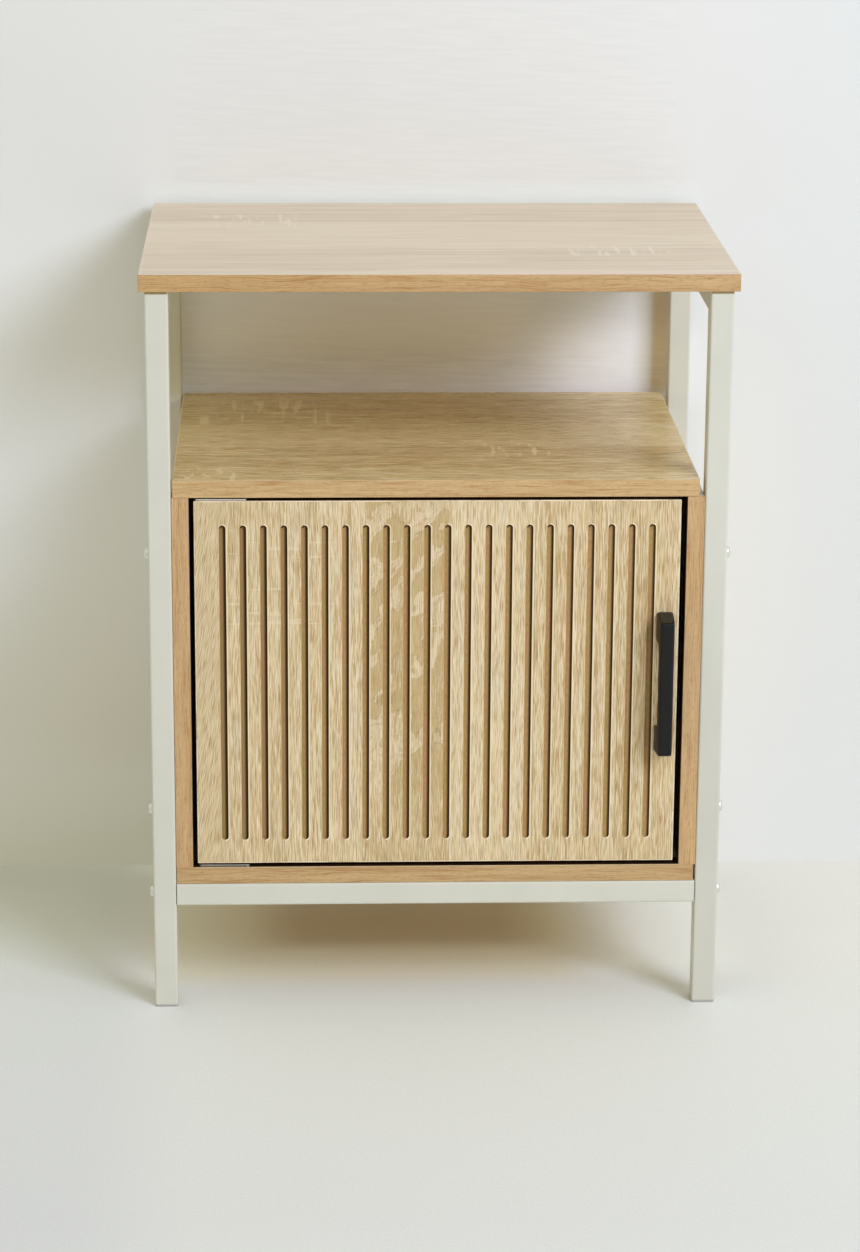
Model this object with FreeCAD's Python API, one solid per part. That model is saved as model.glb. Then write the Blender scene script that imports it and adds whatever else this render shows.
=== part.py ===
import FreeCAD, Part
import math
import os
from collections import namedtuple

from FreeCAD import Rotation, Vector

# Storage side table: a welded tube frame, a top board, an open niche and a cabinet with a
# grooved door. Millimetres, +Z up. The origin is on the floor, in the middle of the table's
# footprint with the handle counted in. The door faces -Y and is hinged on its -X edge.

# Overall sizes
TOP_WIDTH = 500.0
TOP_DEPTH = 350.0
HEIGHT = 650.0

# Stock sizes
BOARD = 15.0
EDGING = 1.0
BACK_THICKNESS = 3.0
TUBE = 20.0
TUBE_WALL = 1.2
TUBE_CORNER = 2.0

# Frame
TOP_SIDE_OVERHANG = 4.5
LEG_SETBACK = 2.0
GLIDE_PLATE = 1.6
GLIDE_STEM = 14.0
GLIDE_INSET = 0.2
GLIDE_STEM_WALL = 2.5
SMALL_CORNER = 1.0
BASE_RAIL_BOTTOM = 94.0
RAIL_END_GAP = 0.4
RAIL_NUT_FLANGE_INSET = 1.0
RAIL_NUT_LENGTH = 12.0

# Cabinet
CARCASE_SETBACK = 0.5
PANEL_SIDE_GAP = 0.1
SHELF_SIDE_GAPS = (1.0, 4.9)
BOTTOM_SIDE_GAPS = (0.3, 1.7)
CABINET_INSIDE_HEIGHT = 330.0
BACK_INSET = 4.0
BACK_GROOVE_DEPTH = 5.0
BACK_CLEARANCE = 0.2
BACK_TOP_DROP = 2.0
BACK_GROOVE_PLAY = 0.5

# Door
DOOR_WIDTH = 412.6
DOOR_LEFT_GAP = 3.6
DOOR_END_GAP = 3.1
DOOR_RECESS = 2.0
GROOVE_COUNT = 22
GROOVE_PITCH = 17.35
GROOVE_WIDTH = 5.4
GROOVE_DEPTH = 3.0
GROOVE_END_MARGIN = 21.5

# Handle
HANDLE_LENGTH = 125.0
HANDLE_PROJECTION = 25.0
HANDLE_FOOT_WIDTH = 14.4
HANDLE_BAR_WIDTH = 12.2
HANDLE_BAR_DEPTH = 9.0
HANDLE_FOOT_HEIGHT = 23.5
HANDLE_END_TAPER = 2.8
HANDLE_END_RADIUS = 3.5
HANDLE_NOTCH_RADIUS = 3.0
HANDLE_EDGE_RADIUS = 1.8
HANDLE_FROM_DOOR_EDGE = 11.8
HANDLE_ABOVE_MIDDLE = 0.5
HANDLE_HOLE_PITCH = 96.0
HANDLE_BORE_SPARE = 1.0

# Pivot hinges
HINGE_PLATE_LENGTH = 45.0
HINGE_PLATE_WIDTH = 12.0
HINGE_PLATE = 1.3
HINGE_PLATE_CORNER = 3.0
HINGE_PIVOT_FROM_EDGE = 9.0
HINGE_PLATE_FROM_PIVOT = 8.5
HINGE_SCREW_OFFSETS = (12.0, 33.0)
PIN_RADIUS = 2.0
PIN_HEAD_RADIUS = 3.2
PIN_HEAD = 1.2
PIN_CLEARANCE = 0.05
PIN_RECESS_RADIUS = 5.0
PIN_RECESS_DEPTH = 2.5
WASHER = 0.4
WASHER_RADIUS = 4.5

# Screws and bolts
Screw = namedtuple("Screw", "radius length head_radius head")
FRAME_BOLT = Screw(radius=3.0, length=30.0, head_radius=5.2, head=3.2)
BOARD_SCREW = Screw(radius=2.0, length=29.0, head_radius=4.4, head=1.9)
HANDLE_SCREW = Screw(radius=2.0, length=24.0, head_radius=4.4, head=1.9)
CABINET_SCREW = Screw(radius=2.6, length=50.0, head_radius=4.6, head=3.0)
HINGE_SCREW = Screw(radius=1.5, length=13.0, head_radius=2.8, head=1.3)
CATCH_SCREW = Screw(radius=1.5, length=21.0, head_radius=2.8, head=2.0)
STRIKE_SCREW = Screw(radius=1.5, length=9.0, head_radius=2.8, head=1.2)
CLEARANCE = 0.1
DOME_TOP_SHARE = 0.7
HEX_ACROSS_FLATS = 4.0
HEX_DEPTH = 2.0
PANEL_BOLT_HEIGHTS = (180.0, 408.0)
INSERT_RADIUS = 4.5
INSERT_LENGTH = 10.0
BOARD_SCREW_X = 169.5
TOP_SCREW_Y = 110.0

# Cams and dowels
JOINT_FROM_OPENING = 5.7
JOINT_Y = 118.0
DOWEL_Y = 60.0
DOWEL_RADIUS = 3.0
DOWEL_LENGTH = 30.0
DOWEL_IN_SHELF = 10.0
CAM_RADIUS = 7.4
CAM_DEPTH = 11.0
CAM_FROM_EDGE = 24.0
CAM_BOLT_RADIUS = 2.5
CAM_BOLT_HEAD_RADIUS = 3.0
CAM_BOLT_HEAD = 3.0
CAM_BOLT_BITE = 10.0
CAM_SLOT_CLEARANCE = 0.4
CAM_CROSS_ARM = 5.0
CAM_CROSS_HALF = 0.7
CAM_CROSS_DEPTH = 1.6

# Magnet catch
CATCH_WIDTH = 46.0
CATCH_DEPTH = 14.0
CATCH_HEIGHT = 13.0
CATCH_FROM_OPENING = 12.0
CATCH_GAP = 0.2
CATCH_CORNER = 2.0
MAGNET_WIDTH = 24.0
MAGNET_DEPTH = 9.0
MAGNET_HEIGHT = 4.0
POLE_THICKNESS = 1.5
POLE_PROUD = 0.8
CATCH_SCREW_SPACING = 36.0
STRIKE_WIDTH = 34.0
STRIKE_HEIGHT = 14.0
STRIKE_PLATE = 1.2

# Places worked out from the sizes above
HANDLE_PROUD = HANDLE_PROJECTION - DOOR_RECESS - CARCASE_SETBACK - LEG_SETBACK
TOP_REAR = (TOP_DEPTH + HANDLE_PROUD) / 2
TOP_FRONT = TOP_REAR - TOP_DEPTH
TOP_UNDERSIDE = HEIGHT - BOARD
FRAME_FRONT = TOP_FRONT + LEG_SETBACK
FRAME_REAR = TOP_REAR - LEG_SETBACK
FRAME_HALF = TOP_WIDTH / 2 - TOP_SIDE_OVERHANG
FRAME_INSIDE = FRAME_HALF - TUBE
LEG_X = FRAME_HALF - TUBE / 2
LEG_Y = (FRAME_FRONT + TUBE / 2, FRAME_REAR - TUBE / 2)
FRAME_MIDDLE_Y = (FRAME_FRONT + FRAME_REAR) / 2
BASE_RAIL_TOP = BASE_RAIL_BOTTOM + TUBE
BASE_RAIL_Z = BASE_RAIL_BOTTOM + TUBE / 2
RAIL_HALF = FRAME_INSIDE - RAIL_END_GAP

CARCASE_FRONT = FRAME_FRONT + CARCASE_SETBACK
CARCASE_REAR = FRAME_REAR - CARCASE_SETBACK
PANEL_OUTSIDE = FRAME_INSIDE - PANEL_SIDE_GAP
PANEL_INSIDE = PANEL_OUTSIDE - BOARD
JOINT_X = PANEL_INSIDE + JOINT_FROM_OPENING
SHELF_ENDS = (SHELF_SIDE_GAPS[0] - FRAME_INSIDE, FRAME_INSIDE - SHELF_SIDE_GAPS[1])
BOTTOM_ENDS = (BOTTOM_SIDE_GAPS[0] - FRAME_INSIDE, FRAME_INSIDE - BOTTOM_SIDE_GAPS[1])
FLOOR_TOP = BASE_RAIL_TOP + BOARD
SHELF_UNDERSIDE = FLOOR_TOP + CABINET_INSIDE_HEIGHT
SHELF_TOP = SHELF_UNDERSIDE + BOARD
BACK_REAR = CARCASE_REAR - BACK_INSET
BACK_FRONT = BACK_REAR - BACK_THICKNESS
SHELF_REAR = BACK_FRONT - BACK_CLEARANCE

DOOR_LEFT = DOOR_LEFT_GAP - PANEL_INSIDE
DOOR_RIGHT = DOOR_LEFT + DOOR_WIDTH
DOOR_BOTTOM = FLOOR_TOP + DOOR_END_GAP
DOOR_TOP = SHELF_UNDERSIDE - DOOR_END_GAP
DOOR_MIDDLE_X = (DOOR_LEFT + DOOR_RIGHT) / 2
DOOR_MIDDLE_Z = (DOOR_BOTTOM + DOOR_TOP) / 2
DOOR_FRONT = CARCASE_FRONT + DOOR_RECESS
DOOR_REAR = DOOR_FRONT + BOARD
PIVOT_X = DOOR_LEFT + HINGE_PIVOT_FROM_EDGE
PIVOT_Y = (DOOR_FRONT + DOOR_REAR) / 2
HANDLE_X = DOOR_RIGHT - HANDLE_FROM_DOOR_EDGE
CATCH_X = PANEL_INSIDE - CATCH_FROM_OPENING - CATCH_WIDTH / 2
CATCH_FRONT = DOOR_REAR + STRIKE_PLATE + CATCH_GAP + POLE_PROUD
HANDLE_Z = DOOR_MIDDLE_Z + HANDLE_ABOVE_MIDDLE
HANDLE_HOLE_HEIGHTS = tuple(HANDLE_Z + sign * HANDLE_HOLE_PITCH / 2 for sign in (-1, 1))
CATCH_SCREW_PLACES = tuple(CATCH_X + sign * CATCH_SCREW_SPACING / 2 for sign in (-1, 1))
CATCH_Y = CATCH_FRONT + CATCH_DEPTH / 2
STRIKE_Z = SHELF_UNDERSIDE - CATCH_HEIGHT / 2 - DOOR_END_GAP / 2

TOLERANCE = 1e-6
X_AXIS = Vector(1, 0, 0)
Y_AXIS = Vector(0, 1, 0)
Z_AXIS = Vector(0, 0, 1)
SIDES = (("left", -1), ("right", 1))
SIGNS = (-1, 1)


def block(x, y, z):
    """Box between the two ends given for each axis."""
    low = Vector(min(x), min(y), min(z))
    high = Vector(max(x), max(y), max(z))
    size = high - low
    return Part.makeBox(size.x, size.y, size.z, low)


def rod(radius, start, axis, length):
    """Round rod from a start point along an axis."""
    return Part.makeCylinder(radius, length, start, axis)


def cut(shape, tools):
    """Shape with every tool taken away."""
    return shape.cut(list(tools)).removeSplitter()


def join(first, others):
    """One solid from shapes that touch or overlap."""
    return first.fuse(list(others)).removeSplitter()


def export(node, *solids):
    """Write one sub-part, which may be several separate solids."""
    shape = solids[0] if len(solids) == 1 else Part.makeCompound(list(solids))
    shape.exportStep(os.path.join("parts", node + ".step"))


def square_bar(width, corner, start, axis, length):
    """Square bar with rounded long edges, centred on the line from start along axis."""
    bar = Part.makeBox(width, width, length, Vector(-width / 2, -width / 2, 0))
    long_edges = [edge for edge in bar.Edges if edge.Length == length]
    bar = bar.makeFillet(corner, long_edges)
    bar.Placement = FreeCAD.Placement(start, Rotation(Z_AXIS, axis))
    return bar


def tube(start, axis, length):
    """Square steel tube, open at both ends."""
    outside = square_bar(TUBE, TUBE_CORNER, start, axis, length)
    inside_width = TUBE - 2 * TUBE_WALL
    inside = square_bar(inside_width, TUBE_CORNER - TUBE_WALL, start, axis, length)
    return outside.cut(inside)


def pan_screw(size, seat, axis):
    """Screw with a domed head that stands proud of the seat; the axis points into the work."""
    dome = Part.makeCone(size.head_radius, size.head_radius * DOME_TOP_SHARE, size.head, seat, axis * -1)
    return join(rod(size.radius, seat, axis, size.length), [dome])


def flat_screw(size, seat, axis, bore=0.0):
    """Countersunk screw with its head flush with the seat, or its hole where bore is set."""
    cone = Part.makeCone(size.head_radius + bore, size.radius + bore, size.head, seat, axis)
    return join(rod(size.radius + bore, seat, axis, size.length + bore), [cone])


def hex_socket(seat, axis):
    """Hexagonal recess for a key, sunk from the seat along the axis."""
    reach = HEX_ACROSS_FLATS / 2 / math.cos(math.pi / 6)
    turns = [corner * math.pi / 3 for corner in range(7)]
    ring = [Vector(reach * math.cos(turn), reach * math.sin(turn), 0) for turn in turns]
    recess = Part.Face(Part.makePolygon(ring)).extrude(Vector(0, 0, HEX_DEPTH))
    recess.Placement = FreeCAD.Placement(seat, Rotation(Z_AXIS, axis))
    return recess


def frame_bolt(side, y, z):
    """M6 bolt through a leg, with its head on the leg's outer face."""
    seat = Vector(side * FRAME_HALF, y, z)
    inward = X_AXIS * -side
    bolt = pan_screw(FRAME_BOLT, seat, inward)
    return cut(bolt, [hex_socket(seat - inward * FRAME_BOLT.head, inward)])


def bolt_hole(side, y, z):
    """Hole through a leg for a frame bolt."""
    return rod(FRAME_BOLT.radius + CLEARANCE, Vector(side * FRAME_HALF, y, z), X_AXIS * -side, TUBE)


def board_screw_hole(x, y, rail_bottom):
    """Hole right through a rail, and on as a pilot hole into the board on top of it."""
    seat = Vector(x, y, rail_bottom)
    return rod(BOARD_SCREW.radius + CLEARANCE, seat, Z_AXIS, BOARD_SCREW.length + CLEARANCE)


def edging(x, y, z):
    """Edge strips round a level board: the front and rear ones run full length."""
    left, right = x
    front, rear = y
    return [
        block(x, (front, front + EDGING), z),
        block(x, (rear - EDGING, rear), z),
        block((left, left + EDGING), (front + EDGING, rear - EDGING), z),
        block((right - EDGING, right), (front + EDGING, rear - EDGING), z),
    ]


def board_core(x, y, z):
    """Level board without its edge strips."""
    left, right = x
    front, rear = y
    return block((left + EDGING, right - EDGING), (front + EDGING, rear - EDGING), z)


# Frame -------------------------------------------------------------------------------------


def build_frame():
    """Two welded side frames of legs and rails, with two rails bolted across them."""
    corners = {"front": LEG_Y[0], "rear": LEG_Y[1]}
    for side_name, side in SIDES:
        for corner, y in corners.items():
            leg = tube(Vector(side * LEG_X, y, GLIDE_PLATE), Z_AXIS, TOP_UNDERSIDE - GLIDE_PLATE)
            holes = [bolt_hole(side, y, z) for z in (BASE_RAIL_Z, *PANEL_BOLT_HEIGHTS)]
            export(f"{side_name}_{corner}_leg", cut(leg, holes))
        start_y = LEG_Y[0] + TUBE / 2
        length = LEG_Y[1] - LEG_Y[0] - TUBE
        top_rail = tube(Vector(side * LEG_X, start_y, TOP_UNDERSIDE - TUBE / 2), Y_AXIS, length)
        export(f"{side_name}_top_rail", cut(top_rail, top_screw_holes(side)))
        export(f"{side_name}_lower_rail", tube(Vector(side * LEG_X, start_y, BASE_RAIL_Z), Y_AXIS, length))
    for corner, y in corners.items():
        rail = tube(Vector(-RAIL_HALF, y, BASE_RAIL_Z), X_AXIS, 2 * RAIL_HALF)
        export(f"{corner}_base_rail", cut(rail, floor_screw_holes(y)))


def top_screw_places():
    """Y of the screws that hold the top board."""
    return (FRAME_MIDDLE_Y - TOP_SCREW_Y, FRAME_MIDDLE_Y + TOP_SCREW_Y)


def top_screw_holes(side):
    """Holes for the screws that hold the top board on one side."""
    return [board_screw_hole(side * LEG_X, y, TOP_UNDERSIDE - TUBE) for y in top_screw_places()]


def floor_screw_holes(y):
    """Holes for the screws that hold the bottom board on one base rail."""
    return [board_screw_hole(side * BOARD_SCREW_X, y, BASE_RAIL_BOTTOM) for side in SIGNS]


def foot_glide(x, y):
    """Plastic plug in the open end of a leg, with a flat foot that meets the floor."""
    plate = square_bar(TUBE - 2 * GLIDE_INSET, TUBE_CORNER, Vector(x, y, 0), Z_AXIS, GLIDE_PLATE)
    stem_width = TUBE - 2 * TUBE_WALL - 2 * GLIDE_INSET
    stem = square_bar(stem_width, SMALL_CORNER, Vector(x, y, GLIDE_PLATE), Z_AXIS, GLIDE_STEM - GLIDE_PLATE)
    hollow_width = stem_width - 2 * GLIDE_STEM_WALL
    hollow = square_bar(hollow_width, SMALL_CORNER, Vector(x, y, GLIDE_PLATE), Z_AXIS, GLIDE_STEM)
    return cut(join(plate, [stem]), [hollow])


def rail_end_nut(side, y):
    """Threaded plug in the end of a base rail, with a flange that meets the leg."""
    inward = X_AXIS * -side
    outer_end = Vector(side * FRAME_INSIDE, y, BASE_RAIL_Z)
    flange_width = TUBE - 2 * RAIL_NUT_FLANGE_INSET
    flange = square_bar(flange_width, SMALL_CORNER, outer_end, inward, RAIL_END_GAP)
    body_width = TUBE - 2 * TUBE_WALL - 2 * CLEARANCE
    body_start = outer_end + inward * RAIL_END_GAP
    body = square_bar(body_width, SMALL_CORNER, body_start, inward, RAIL_NUT_LENGTH)
    bore = rod(FRAME_BOLT.radius + PIN_CLEARANCE, outer_end, inward, RAIL_END_GAP + RAIL_NUT_LENGTH)
    return cut(join(flange, [body]), [bore])


def build_frame_hardware():
    """Glides, bolts, rail plugs and the screws that hold the top and bottom boards."""
    export("foot_glides", *[foot_glide(side * LEG_X, y) for side in SIGNS for y in LEG_Y])
    export("rail_end_nuts", *[rail_end_nut(side, y) for side in SIGNS for y in LEG_Y])
    heights = (BASE_RAIL_Z, *PANEL_BOLT_HEIGHTS)
    for side_name, side in SIDES:
        export(f"{side_name}_frame_bolts", *[frame_bolt(side, y, z) for y in LEG_Y for z in heights])
    rail_bottom = TOP_UNDERSIDE - TUBE
    top_seats = [Vector(side * LEG_X, y, rail_bottom) for side in SIGNS for y in top_screw_places()]
    export("top_board_screws", *[pan_screw(BOARD_SCREW, seat, Z_AXIS) for seat in top_seats])
    floor_seats = [Vector(side * BOARD_SCREW_X, y, BASE_RAIL_BOTTOM) for side in SIGNS for y in LEG_Y]
    export("bottom_board_screws", *[pan_screw(BOARD_SCREW, seat, Z_AXIS) for seat in floor_seats])


# Boards ------------------------------------------------------------------------------------


def build_top_board():
    """Top board lying on the two side frames."""
    x = (-TOP_WIDTH / 2, TOP_WIDTH / 2)
    y = (TOP_FRONT, TOP_REAR)
    z = (TOP_UNDERSIDE, HEIGHT)
    export("top_board", cut(board_core(x, y, z), top_screw_holes(-1) + top_screw_holes(1)))
    export("top_board_edging", *edging(x, y, z))


def build_shelf_board():
    """Shelf board that closes the cabinet and is the floor of the niche."""
    x = SHELF_ENDS
    y = (CARCASE_FRONT, SHELF_REAR)
    z = (SHELF_UNDERSIDE, SHELF_TOP)
    holes = [dowel(side, py, SHELF_UNDERSIDE, CLEARANCE) for side in SIGNS for py in dowel_places()]
    cam_ends = [Vector(side * JOINT_X, py, SHELF_UNDERSIDE) for side in SIGNS for py in joint_places()]
    holes += [rod(CAM_BOLT_RADIUS + CLEARANCE, end, Z_AXIS, CAM_BOLT_BITE) for end in cam_ends]
    holes += [hinge_screw(sx, SHELF_UNDERSIDE - HINGE_PLATE, 1, CLEARANCE) for sx in hinge_screw_places()]
    holes += [catch_screw(sx, CLEARANCE) for sx in CATCH_SCREW_PLACES]
    export("shelf_board", cut(board_core(x, y, z), holes))
    export("shelf_board_edging", *edging(x, y, z))


def back_groove(x, z):
    """Groove that holds the back panel."""
    return block(x, (BACK_FRONT - BACK_CLEARANCE, BACK_REAR + BACK_CLEARANCE), z)


def build_bottom_board():
    """Cabinet floor, lying on the two base rails."""
    x = BOTTOM_ENDS
    y = (CARCASE_FRONT, CARCASE_REAR)
    z = (BASE_RAIL_TOP, FLOOR_TOP)
    groove_half = PANEL_INSIDE + BACK_GROOVE_DEPTH
    holes = [back_groove((-groove_half, groove_half), (FLOOR_TOP - BACK_GROOVE_DEPTH, FLOOR_TOP))]
    holes += [hole for py in LEG_Y for hole in floor_screw_holes(py)]
    holes += [dowel(side, py, FLOOR_TOP, CLEARANCE) for side in SIGNS for py in dowel_places()]
    holes += [cabinet_screw(side, py, CLEARANCE) for side in SIGNS for py in joint_places()]
    holes += [hinge_screw(sx, FLOOR_TOP + HINGE_PLATE, -1, CLEARANCE) for sx in hinge_screw_places()]
    export("bottom_board", cut(board_core(x, y, z), holes))
    export("bottom_board_edging", *edging(x, y, z))


def build_side_panels():
    """Cabinet sides, standing on the bottom board and bolted to the legs."""
    z = (FLOOR_TOP, SHELF_UNDERSIDE)
    for side_name, side in SIDES:
        x = (side * PANEL_INSIDE, side * PANEL_OUTSIDE)
        core = block(x, (CARCASE_FRONT + EDGING, CARCASE_REAR - EDGING), z)
        holes = [back_groove((side * PANEL_INSIDE, side * (PANEL_INSIDE + BACK_GROOVE_DEPTH)), z)]
        holes += [insert_hole(side, y, bolt_z) for y in LEG_Y for bolt_z in PANEL_BOLT_HEIGHTS]
        holes += [dowel(side, y, edge, CLEARANCE) for y in dowel_places() for edge in z]
        holes += [cabinet_screw(side, y, CLEARANCE) for y in joint_places()]
        holes += [hole for y in joint_places() for hole in cam_holes(side, y)]
        export(f"{side_name}_side_panel", cut(core, holes))
        strips = [
            block(x, (CARCASE_FRONT, CARCASE_FRONT + EDGING), z),
            block(x, (CARCASE_REAR - EDGING, CARCASE_REAR), z),
        ]
        export(f"{side_name}_side_panel_edging", *strips)


def build_back_panel():
    """Thin back, slid into the grooves and standing behind the shelf board."""
    half = PANEL_INSIDE + BACK_GROOVE_DEPTH - BACK_GROOVE_PLAY
    bottom = FLOOR_TOP - BACK_GROOVE_DEPTH + BACK_GROOVE_PLAY
    top = SHELF_TOP - BACK_TOP_DROP
    export("back_panel", block((-half, half), (BACK_FRONT, BACK_REAR), (bottom, top)))


# Cabinet joinery ---------------------------------------------------------------------------


def joint_places():
    """Y of the cams and the long screws."""
    return (FRAME_MIDDLE_Y - JOINT_Y, FRAME_MIDDLE_Y + JOINT_Y)


def dowel_places():
    """Y of the dowels."""
    return (FRAME_MIDDLE_Y - DOWEL_Y, FRAME_MIDDLE_Y + DOWEL_Y)


def dowel(side, y, edge, bore=0.0):
    """Dowel across the joint at a panel's end, or its hole where bore is set."""
    into_board = DOWEL_IN_SHELF
    into_panel = DOWEL_LENGTH - DOWEL_IN_SHELF
    at_top = edge > DOOR_MIDDLE_Z
    bottom = edge - (into_panel if at_top else into_board) - bore
    start = Vector(side * JOINT_X, y, bottom)
    return rod(DOWEL_RADIUS + bore, start, Z_AXIS, DOWEL_LENGTH + 2 * bore)


def cabinet_screw(side, y, bore=0.0):
    """Long screw up through the bottom board into a side panel, or its hole."""
    return flat_screw(CABINET_SCREW, Vector(side * JOINT_X, y, BASE_RAIL_TOP), Z_AXIS, bore)


def cam_holes(side, y):
    """Holes in a side panel for a cam disc and for the bolt that reaches it from above."""
    centre = Vector(side * PANEL_INSIDE, y, SHELF_UNDERSIDE - CAM_FROM_EDGE)
    bolt_way = Vector(side * JOINT_X, y, SHELF_UNDERSIDE - CAM_FROM_EDGE)
    return [
        rod(CAM_RADIUS + CLEARANCE, centre, X_AXIS * side, CAM_DEPTH + CLEARANCE),
        rod(CAM_BOLT_HEAD_RADIUS + CLEARANCE, bolt_way, Z_AXIS, CAM_FROM_EDGE),
    ]


def cam_disc(side, y):
    """Eccentric disc in the panel's inner face, slotted for the bolt's head."""
    centre = Vector(side * PANEL_INSIDE, y, SHELF_UNDERSIDE - CAM_FROM_EDGE)
    disc = rod(CAM_RADIUS, centre, X_AXIS * side, CAM_DEPTH)
    slot_half = CAM_BOLT_HEAD_RADIUS + CAM_SLOT_CLEARANCE
    slot_x = (side * (JOINT_X - slot_half), side * (JOINT_X + slot_half + CAM_DEPTH))
    slot = block(slot_x, (y - slot_half, y + slot_half), (centre.z - slot_half, centre.z + 2 * CAM_RADIUS))
    cross_x = (side * PANEL_INSIDE, side * (PANEL_INSIDE + CAM_CROSS_DEPTH))
    cross = [
        block(cross_x, (y - half_y, y + half_y), (centre.z - half_z, centre.z + half_z))
        for half_y, half_z in ((CAM_CROSS_ARM, CAM_CROSS_HALF), (CAM_CROSS_HALF, CAM_CROSS_ARM))
    ]
    return cut(disc, [slot, *cross])


def cam_bolt(side, y):
    """Bolt screwed up into the shelf board, with a ball head held by the cam."""
    head_bottom = Vector(side * JOINT_X, y, SHELF_UNDERSIDE - CAM_FROM_EDGE)
    shank_bottom = head_bottom + Z_AXIS * CAM_BOLT_HEAD
    shank_length = CAM_FROM_EDGE - CAM_BOLT_HEAD + CAM_BOLT_BITE
    shank = rod(CAM_BOLT_RADIUS, shank_bottom, Z_AXIS, shank_length)
    return join(shank, [rod(CAM_BOLT_HEAD_RADIUS, head_bottom, Z_AXIS, CAM_BOLT_HEAD)])


def insert_hole(side, y, z):
    """Hole in a side panel's outer face for a threaded insert."""
    start = Vector(side * PANEL_OUTSIDE, y, z)
    return rod(INSERT_RADIUS + CLEARANCE, start, X_AXIS * -side, INSERT_LENGTH)


def insert_nut(side, y, z):
    """Threaded insert in the panel's outer face for a frame bolt."""
    start = Vector(side * PANEL_OUTSIDE, y, z)
    body = rod(INSERT_RADIUS, start, X_AXIS * -side, INSERT_LENGTH)
    return cut(body, [rod(FRAME_BOLT.radius + PIN_CLEARANCE, start, X_AXIS * -side, INSERT_LENGTH)])


def build_joinery():
    """What holds the cabinet's boards to each other and to the frame."""
    export("cam_discs", *[cam_disc(side, y) for side in SIGNS for y in joint_places()])
    export("cam_bolts", *[cam_bolt(side, y) for side in SIGNS for y in joint_places()])
    ends = (FLOOR_TOP, SHELF_UNDERSIDE)
    export("dowels", *[dowel(side, y, end) for side in SIGNS for y in dowel_places() for end in ends])
    export("cabinet_screws", *[cabinet_screw(side, y) for side in SIGNS for y in joint_places()])
    inserts = [insert_nut(side, y, z) for side in SIGNS for y in LEG_Y for z in PANEL_BOLT_HEIGHTS]
    export("panel_insert_nuts", *inserts)


# Door --------------------------------------------------------------------------------------


def groove(x):
    """Upright round-ended groove in the door's face."""
    low = DOOR_BOTTOM + GROOVE_END_MARGIN + GROOVE_WIDTH / 2
    high = DOOR_TOP - GROOVE_END_MARGIN - GROOVE_WIDTH / 2
    half = GROOVE_WIDTH / 2
    depth = (DOOR_FRONT, DOOR_FRONT + GROOVE_DEPTH)
    ends = [rod(half, Vector(x, DOOR_FRONT, z), Y_AXIS, GROOVE_DEPTH) for z in (low, high)]
    return join(block((x - half, x + half), depth, (low, high)), ends)


def build_door():
    """Door panel with its row of grooves and its edge strips."""
    inner_x = (DOOR_LEFT + EDGING, DOOR_RIGHT - EDGING)
    y = (DOOR_FRONT, DOOR_REAR)
    core = block(inner_x, y, (DOOR_BOTTOM + EDGING, DOOR_TOP - EDGING))
    first = DOOR_MIDDLE_X - (GROOVE_COUNT - 1) * GROOVE_PITCH / 2
    holes = [groove(first + i * GROOVE_PITCH) for i in range(GROOVE_COUNT)]
    holes += [handle_bore(z, CLEARANCE) for z in HANDLE_HOLE_HEIGHTS]
    holes.append(strike_screw(CLEARANCE))
    edge_holes = []
    for end, direction in ((DOOR_TOP, -1), (DOOR_BOTTOM, 1)):
        pivot_end = Vector(PIVOT_X, PIVOT_Y, end)
        edge_holes.append(rod(PIN_RECESS_RADIUS, pivot_end, Z_AXIS * direction, PIN_RECESS_DEPTH))
        plate_face = end - direction * HINGE_PLATE
        edge_holes += [hinge_screw(x, plate_face, direction, CLEARANCE) for x in hinge_screw_places()]
    export("door_panel", cut(core, holes + edge_holes))
    strips = [
        block((DOOR_LEFT, DOOR_RIGHT), y, (DOOR_TOP - EDGING, DOOR_TOP)),
        block((DOOR_LEFT, DOOR_RIGHT), y, (DOOR_BOTTOM, DOOR_BOTTOM + EDGING)),
        block((DOOR_LEFT, DOOR_LEFT + EDGING), y, (DOOR_BOTTOM + EDGING, DOOR_TOP - EDGING)),
        block((DOOR_RIGHT - EDGING, DOOR_RIGHT), y, (DOOR_BOTTOM + EDGING, DOOR_TOP - EDGING)),
    ]
    export("door_edging", *[cut(strip, edge_holes) for strip in strips])


def handle_profile():
    """Side outline of the handle: two feet on the door and a bar between them, in the YZ plane."""
    half = HANDLE_LENGTH / 2
    face = DOOR_FRONT
    tip = DOOR_FRONT - HANDLE_PROJECTION
    bar_back = tip + HANDLE_BAR_DEPTH
    foot = half - HANDLE_FOOT_HEIGHT
    outline = [
        (face, half), (tip, half - HANDLE_END_TAPER), (tip, HANDLE_END_TAPER - half), (face, -half),
        (face, -foot), (bar_back, -foot), (bar_back, foot), (face, foot), (face, half),
    ]
    start_x = HANDLE_X - HANDLE_FOOT_WIDTH / 2
    ring = [Vector(start_x, y, HANDLE_Z + z) for y, z in outline]
    return Part.Face(Part.makePolygon(ring)).extrude(Vector(HANDLE_FOOT_WIDTH, 0, 0))


def edges_across(shape, y):
    """Edges that run along X at the given Y."""
    found = []
    for edge in shape.Edges:
        ends = [vertex.Point for vertex in edge.Vertexes]
        if all(abs(point.y - y) < TOLERANCE for point in ends) and abs(ends[0].z - ends[1].z) < TOLERANCE:
            found.append(edge)
    return found


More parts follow.
